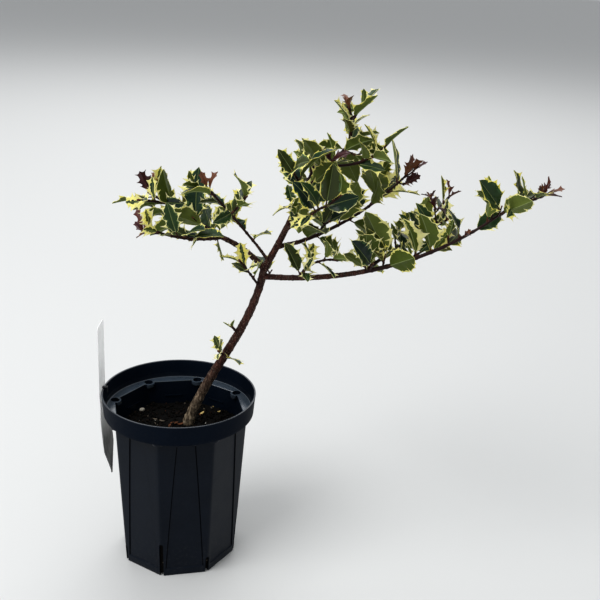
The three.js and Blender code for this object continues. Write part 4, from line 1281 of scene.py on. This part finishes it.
def make_pot():
    """The moulded pot: its skin, the lobes in its corners, pockets, slits and ribs inside."""
    pot = cutter("pot_moulded", [stacked(pot_rings())])
    foot = BODY_TOP - LOBE_DROP
    knob = [(LOBE_RADIUS - 1.6, foot), (LOBE_RADIUS - 0.5, foot + 0.4)]
    knob += [(LOBE_RADIUS, foot + 1.5), (LOBE_RADIUS, BODY_TOP - 0.4)]
    knobs = [turned_post(knob, place) for place in LOBE_PLACES]
    apply_boolean(pot, cutter("knobs", knobs), "UNION")
    hollow = [(POCKET_RADIUS, BODY_TOP - POCKET_DEPTH), (POCKET_RADIUS, BODY_TOP + 1.0)]
    hollows = [turned_post(hollow, place) for place in LOBE_PLACES]
    hollows += [slit_cutter(k) for k in range(CORNERS)]
    apply_boolean(pot, cutter("hollows", hollows), "DIFFERENCE")
    wall = corner_radius(RIB_MIDDLE) * math.cos(HALF_FACE) - WALL
    low, high = RIB_MIDDLE - RIB_TALL / 2, RIB_MIDDLE + RIB_TALL / 2
    points, rib_faces = block((-RIB_REACH, -wall - 0.6, low), (RIB_REACH, -wall + 1.1, high))
    ribs = [(turned(points, corner_turn(k + 0.5)), rib_faces) for k in range(CORNERS)]
    apply_boolean(pot, cutter("ribs", ribs), "UNION")
    mesh = pot.data
    mesh.materials.clear()
    for name, sheen, rough, dark, light in POT_FINISHES:
        mesh.materials.append(plastic_material(name, sheen, rough, dark, light))
    mesh.polygons.foreach_set("use_smooth", [True] * len(mesh.polygons))
    mesh.polygons.foreach_set("material_index", [pot_finish(face) for face in mesh.polygons])
    mesh.set_sharp_from_angle(angle=math.radians(28))
    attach(pot, "root")
    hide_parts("pot")


# ------------------------------------------------------------------ soil

# The darkest and the lightest colour of each kind of grain.
SOIL_KINDS = [
    ((0.0012, 0.0011, 0.0010), (0.0055, 0.0048, 0.0043)),
    ((0.0040, 0.0026, 0.0020), (0.018, 0.011, 0.0075)),
    ((0.060, 0.021, 0.009), (0.160, 0.070, 0.034)),
    ((0.50, 0.48, 0.43), (0.80, 0.78, 0.72)),
    ((0.38, 0.35, 0.29), (0.60, 0.56, 0.48)),
    ((0.36, 0.27, 0.10), (0.60, 0.46, 0.20)),
    ((0.075, 0.060, 0.045), (0.190, 0.160, 0.125)),
]
BLACK, BROWN, RED, PERLITE, PEBBLE, YELLOW, STRAW = range(7)

# Dry flakes on the soil: x, y, half length, half width, heading, kind.
FLAKES = [
    (-17.0, 13.6, 5.2, 1.4, 125, STRAW),
    (-24.0, 19.0, 3.0, 1.0, 150, STRAW),
    (-5.0, 8.0, 4.6, 2.1, 160, RED),
    (1.0, 5.5, 3.4, 1.6, 20, RED),
    (-9.5, 4.5, 2.8, 1.3, 80, RED),
    (23.0, 30.0, 2.6, 1.5, 40, YELLOW),
    (21.0, 26.0, 2.4, 0.9, 110, RED),
    (40.5, 34.2, 1.8, 1.2, 10, YELLOW),
    (33.0, 41.0, 2.6, 0.8, 95, STRAW),
]
PEBBLE_PLACE, PEBBLE_SIZE = (-38.3, 39.9), (3.6, 2.8, 2.2)

# Loose grains: kind, how many, smallest and largest radius.
GRAINS = [
    (BLACK, 700, 0.7, 2.1),
    (BROWN, 260, 0.6, 1.9),
    (RED, 10, 0.6, 1.2),
    (PERLITE, 18, 0.4, 1.0),
    (YELLOW, 6, 0.4, 0.9),
    (STRAW, 26, 0.5, 1.3),
]
SPREAD, SLIT_GRAINS = 62, 4


def soil_height(x, y):
    """The height of the soil's uneven top, which rises to the trunk."""
    bumps = noise.fractal(Vector((x / 14.0, y / 14.0, 0.3)), 0.8, 2.2, 4)
    mound = 1.6 * math.exp(-((x - TRUNK_FOOT[0]) ** 2 + (y - TRUNK_FOOT[1]) ** 2) / 260.0)
    return SOIL_TOP - 0.9 + 1.5 * bumps + mound


def make_soil(materials):
    """The body of potting mix inside the wall, with an uneven top that rises to the trunk."""
    body = Piece("soil_body", materials)
    sunk = WALL + GAP
    rings = [wall_ring(SOIL_FOOT, sunk, False) * [0.5, 0.5, 1]]
    rings += [wall_ring(z, sunk, False) for z in (SOIL_FOOT, 8, 14, 20, 26, 32, 60, 100, 126)]
    rim = wall_ring(SOIL_TOP - 2.0, sunk, False)
    rings.append(rim)
    for share in np.linspace(0.985, 0.04, 26):
        ring = rim * [share, share, 1]
        ring[:, 2] = [soil_height(x, y) for x, y, _ in ring]
        rings.append(ring)
    body.add(*stacked(rings), BLACK)
    body.make(50, ["soil"])


def ball(rows=5, sides=8):
    """A small round mesh, the start of each crumb."""
    points = []
    for i in range(1, rows + 1):
        ring = math.pi * i / (rows + 1)
        for j in range(sides):
            a = 2 * math.pi * (j + 0.5 * (i % 2)) / sides
            points.append((math.sin(ring) * math.cos(a), math.sin(ring) * math.sin(a), math.cos(ring)))
    points += [(0, 0, 1), (0, 0, -1)]
    faces = [(a, d, c, b) for a, b, c, d in grid_faces(rows, sides)]
    top, low, last = rows * sides, rows * sides + 1, (rows - 1) * sides
    faces += [(top, j, (j + 1) % sides) for j in range(sides)]
    faces += [(low, last + (j + 1) % sides, last + j) for j in range(sides)]
    return np.array(points), faces


def add_crumb(piece, centre, sizes, own, kind, lump=0.35):
    """A lumpy grain, turned at random."""
    points, faces = ball()
    rough = 1 + lump * (own.random(len(points)) - 0.5) * 2
    angle = own.uniform(0, 6.28)
    turn = np.array(Matrix.Rotation(angle, 3, Vector(own.normal(size=3)).normalized()))
    points = (points * rough[:, None] * sizes) @ turn.T + centre
    piece.add(points, faces, kind)


def lay_flake(piece, x, y, long, wide, heading, own, kind):
    """A thin dry flake that lies almost flat on the soil, curled up at its ends."""
    points, faces = ball()
    rough = 1 + 0.2 * (own.random(len(points)) - 0.5)
    points = points * rough[:, None] * [long, wide, 0.25]
    points[:, 2] += 0.8 * (points[:, 0] / long) ** 2
    tilt = Matrix.Rotation(own.uniform(-0.3, 0.3), 3, "Y")
    turn = np.array(Matrix.Rotation(math.radians(heading), 3, "Z") @ tilt)
    piece.add(points @ turn.T + [x, y, soil_height(x, y) + 1.5], faces, kind)


def inside_pot(x, y, z, margin):
    """Whether a place on the soil lies inside the pot's wall."""
    flat = corner_radius(z) * math.cos(HALF_FACE) - WALL - margin
    return all(
        x * math.sin(t) - y * math.cos(t) < flat
        for t in (math.radians(CORNER_TURN) + 2 * HALF_FACE * (k + 0.5) for k in range(CORNERS))
    )


def make_crumbs(materials):
    """Loose grains on the soil: peat, bark, perlite, one pebble and a few dry flakes."""
    piece = Piece("soil_crumbs", materials)
    own = np.random.default_rng(11)
    for kind, count, small, large in GRAINS:
        made = 0
        while made < count:
            x, y = own.uniform(-SPREAD, SPREAD, 2)
            size = own.uniform(small, large)
            if not inside_pot(x, y, SOIL_TOP, size + 0.6):
                continue
            z = soil_height(x, y) + 0.35 * size
            sizes = size * own.uniform(0.6, 1.0, 3)
            add_crumb(piece, np.array([x, y, z]), sizes, own, kind)
            made += 1
    for *flake, kind in FLAKES:
        lay_flake(piece, *flake, own, kind)
    x, y = PEBBLE_PLACE
    add_crumb(piece, np.array([x, y, soil_height(x, y) + 1.6]), np.array(PEBBLE_SIZE), own, PEBBLE, 0.12)
    # Grains that show in the slits.
    for k in range(CORNERS):
        for _ in range(SLIT_GRAINS):
            z = own.uniform(5, slit_height(k) - 4)
            flat = corner_radius(z) - 3.6
            place = turned([(own.uniform(-1.1, 1.1), -flat, z)], corner_turn(k))[0]
            kind = STRAW if own.random() < 0.6 else BROWN
            add_crumb(piece, place, np.full(3, own.uniform(0.5, 0.9)), own, kind)
    piece.make(60)


# ------------------------------------------------------------------ label

LABEL_TURN, LABEL_WIDTH, LABEL_THICK = -97.0, 26.0, 0.8
LABEL_TOP, LABEL_SHOULDER, LABEL_TIP = 243.0, 110.0, 80.0
LABEL_BEND, LABEL_BEND_HEIGHT = 5.0, 170.0
LABEL_TWIST, LABEL_TWIST_FROM, LABEL_TWIST_TO = -8.0, 166.0, 138.0
LABEL_CORNER, LABEL_BOW = 3.4, 0.6
TONGUE_WIDTH, TONGUE_LOW = 3.6, 170.0
# Painted shade: the tongue is the label's own plastic, coloured near-black navy for the pot's shade
# around it.
TONGUE_PAINTED_SHADE = ((0.012, 0.014, 0.018), (0.020, 0.023, 0.028))


def make_label():
    """A thin blank plastic label hooked over the rim by its tongue."""
    shaded = plastic_material("label_tongue_shaded", 0.2, 0.45, *TONGUE_PAINTED_SHADE)
    piece = Piece("label_blank", [label_material(), shaded])
    heights = [LABEL_TOP, LABEL_TOP - 0.8, LABEL_TOP - 2, LABEL_TOP - LABEL_CORNER]
    heights += [*np.linspace(LABEL_TOP - 8, LABEL_SHOULDER, 26)]
    heights += [*np.linspace(LABEL_SHOULDER - 2, LABEL_TIP, 10)]
    shares = np.array([-1, -0.94, -0.6, -0.3, 0, 0.3, 0.6, 0.94, 1])
    front, back = [], []
    for z in heights:
        corner = max(0.0, z - (LABEL_TOP - LABEL_CORNER))
        half = LABEL_WIDTH / 2 - (LABEL_CORNER - math.sqrt(max(0.0, LABEL_CORNER**2 - corner**2)))
        if z < LABEL_SHOULDER:
            half = max(0.8, LABEL_WIDTH / 2 * (z - LABEL_TIP) / (LABEL_SHOULDER - LABEL_TIP))
        below = max(0.0, LABEL_BEND_HEIGHT - z)
        lean = below * math.tan(math.radians(LABEL_BEND))
        turned_by = smooth_step(LABEL_TWIST_FROM - z, 0, LABEL_TWIST_FROM - LABEL_TWIST_TO)
        twist = math.radians(LABEL_TWIST) * turned_by
        for share in shares:
            bow = LABEL_BOW * (1 - share**2) * min(1.0, below / 30)
            middle = -(RIM_RADIUS + GAP) + lean
            for side, deep in ((front, LABEL_THICK + bow), (back, bow)):
                x = share * half * math.cos(twist) + deep * math.sin(twist)
                y = middle + share * half * math.sin(twist) - deep * math.cos(twist)
                side.append((x, y, z))
    rows, columns = len(heights), len(shares)
    points = turned(np.array(front + back), LABEL_TURN)
    size = rows * columns
    faces = grid_faces(rows, columns, closed=False)
    faces += [tuple(i + size for i in face[::-1]) for face in faces]
    border = [(i * columns, (i + 1) * columns) for i in range(rows - 1)]
    border += [((rows - 1) * columns + j, (rows - 1) * columns + j + 1) for j in range(columns - 1)]
    border += [((i + 1) * columns + columns - 1, i * columns + columns - 1) for i in range(rows - 1)]
    border += [(j + 1, j) for j in range(columns - 1)]
    faces += [(a, b, b + size, a + size) for a, b in border]
    piece.add(points, faces, 0)
    inner = BAND_FOOT_RADIUS - RIM_WALL - 2 * GAP - LABEL_THICK
    outer = RIM_RADIUS + GAP + LABEL_THICK / 2
    top = POT_HEIGHT + GAP + LABEL_THICK
    half = TONGUE_WIDTH / 2
    for low, high in (
        ((-half, -outer, top - LABEL_THICK), (half, -inner, top)),
        ((-half, -inner - LABEL_THICK, TONGUE_LOW), (half, -inner, top - 0.1)),
    ):
        box_points, box_faces = block(low, high)
        # The tongue takes the dark plastic, painted shade.
        piece.add(turned(box_points, LABEL_TURN), box_faces, 1)
    piece.make(40, ["plant_label"])


# ------------------------------------------------------------------ studio


def make_floor():
    """A plain pale floor, far larger than the plant."""
    size = 14.0
    shader = Shader("studio_floor")
    shader.skin(Base_Color=FLOOR_GREY, Roughness=0.9)
    mesh = bpy.data.meshes.new("studio_floor")
    corners = [(-size, -size, 0), (size, -size, 0), (size, size, 0), (-size, size, 0)]
    mesh.from_pydata(corners, [], [(0, 1, 2, 3)])
    mesh.materials.append(shader.material)
    floor = put("studio_floor", mesh)


def make_light(name, place, size, power, aim):
    """A soft square light at place, in metres, that faces aim."""
    lamp = bpy.data.lights.new(name, "AREA")
    lamp.size = size
    lamp.energy = power
    light = put(name, lamp)
    light.location = place
    light.rotation_euler = (Vector(aim) - Vector(place)).to_track_quat("-Z", "Y").to_euler()


CAMERA_PLACE = (0.006852, -0.835906, 0.589628)
CAMERA_PITCH, CAMERA_YAW, CAMERA_ROLL = 0.361, 0.128, 0.052
FOCAL_PIXELS, FRAME_PIXELS, SENSOR_MM = 940.0, 600.0, 36.0


def make_camera():
    """The camera that fits the photograph, 0.84 m in front of the pot."""
    pitch, yaw, roll = CAMERA_PITCH, CAMERA_YAW, CAMERA_ROLL
    ahead = math.cos(pitch)
    forward = Vector((math.sin(yaw) * ahead, math.cos(yaw) * ahead, -math.sin(pitch)))
    level = Vector((math.cos(yaw), -math.sin(yaw), 0))
    above = level.cross(forward)
    right = level * math.cos(roll) + above * math.sin(roll)
    top = above * math.cos(roll) - level * math.sin(roll)
    data = bpy.data.cameras.new("camera")
    data.sensor_width = SENSOR_MM
    data.lens = SENSOR_MM * FOCAL_PIXELS / FRAME_PIXELS
    data.clip_start, data.clip_end = 0.01, 20.0
    camera = put("camera", data)
    turn = Matrix((right, top, -forward)).transposed()
    camera.matrix_world = Matrix.Translation(CAMERA_PLACE) @ turn.to_4x4()
    bpy.context.scene.camera = camera


def make_studio():
    make_floor()
    make_camera()
    make_light("key", (-1.1, -0.7, 2.0), size=1.4, power=36, aim=(0.08, 0, 0.25))
    make_light("back", (0.2, 2.2, 2.4), size=2.6, power=46, aim=(0.1, 1.4, 0.0))
    world = bpy.data.worlds.new("studio_world")
    world.use_nodes = True
    background = world.node_tree.nodes["Background"]
    background.inputs["Color"].default_value = (*SKY, 1)
    background.inputs["Strength"].default_value = SKY_STRENGTH
    bpy.context.scene.world = world
    view = bpy.context.scene.view_settings
    view.view_transform = "Standard"
    view.exposure = 0.12
    view.gamma = 0.88


# ------------------------------------------------------------------ the scene

plant = Plant()
make_trunk(plant)
make_boughs(plant)
make_twigs(plant)
make_leaves(plant)
make_pot()
soil_materials = [crumb_material(f"soil_grain_{i + 1}", *pair) for i, pair in enumerate(SOIL_KINDS)]
make_soil(soil_materials)
make_crumbs(soil_materials)
make_label()
make_studio()
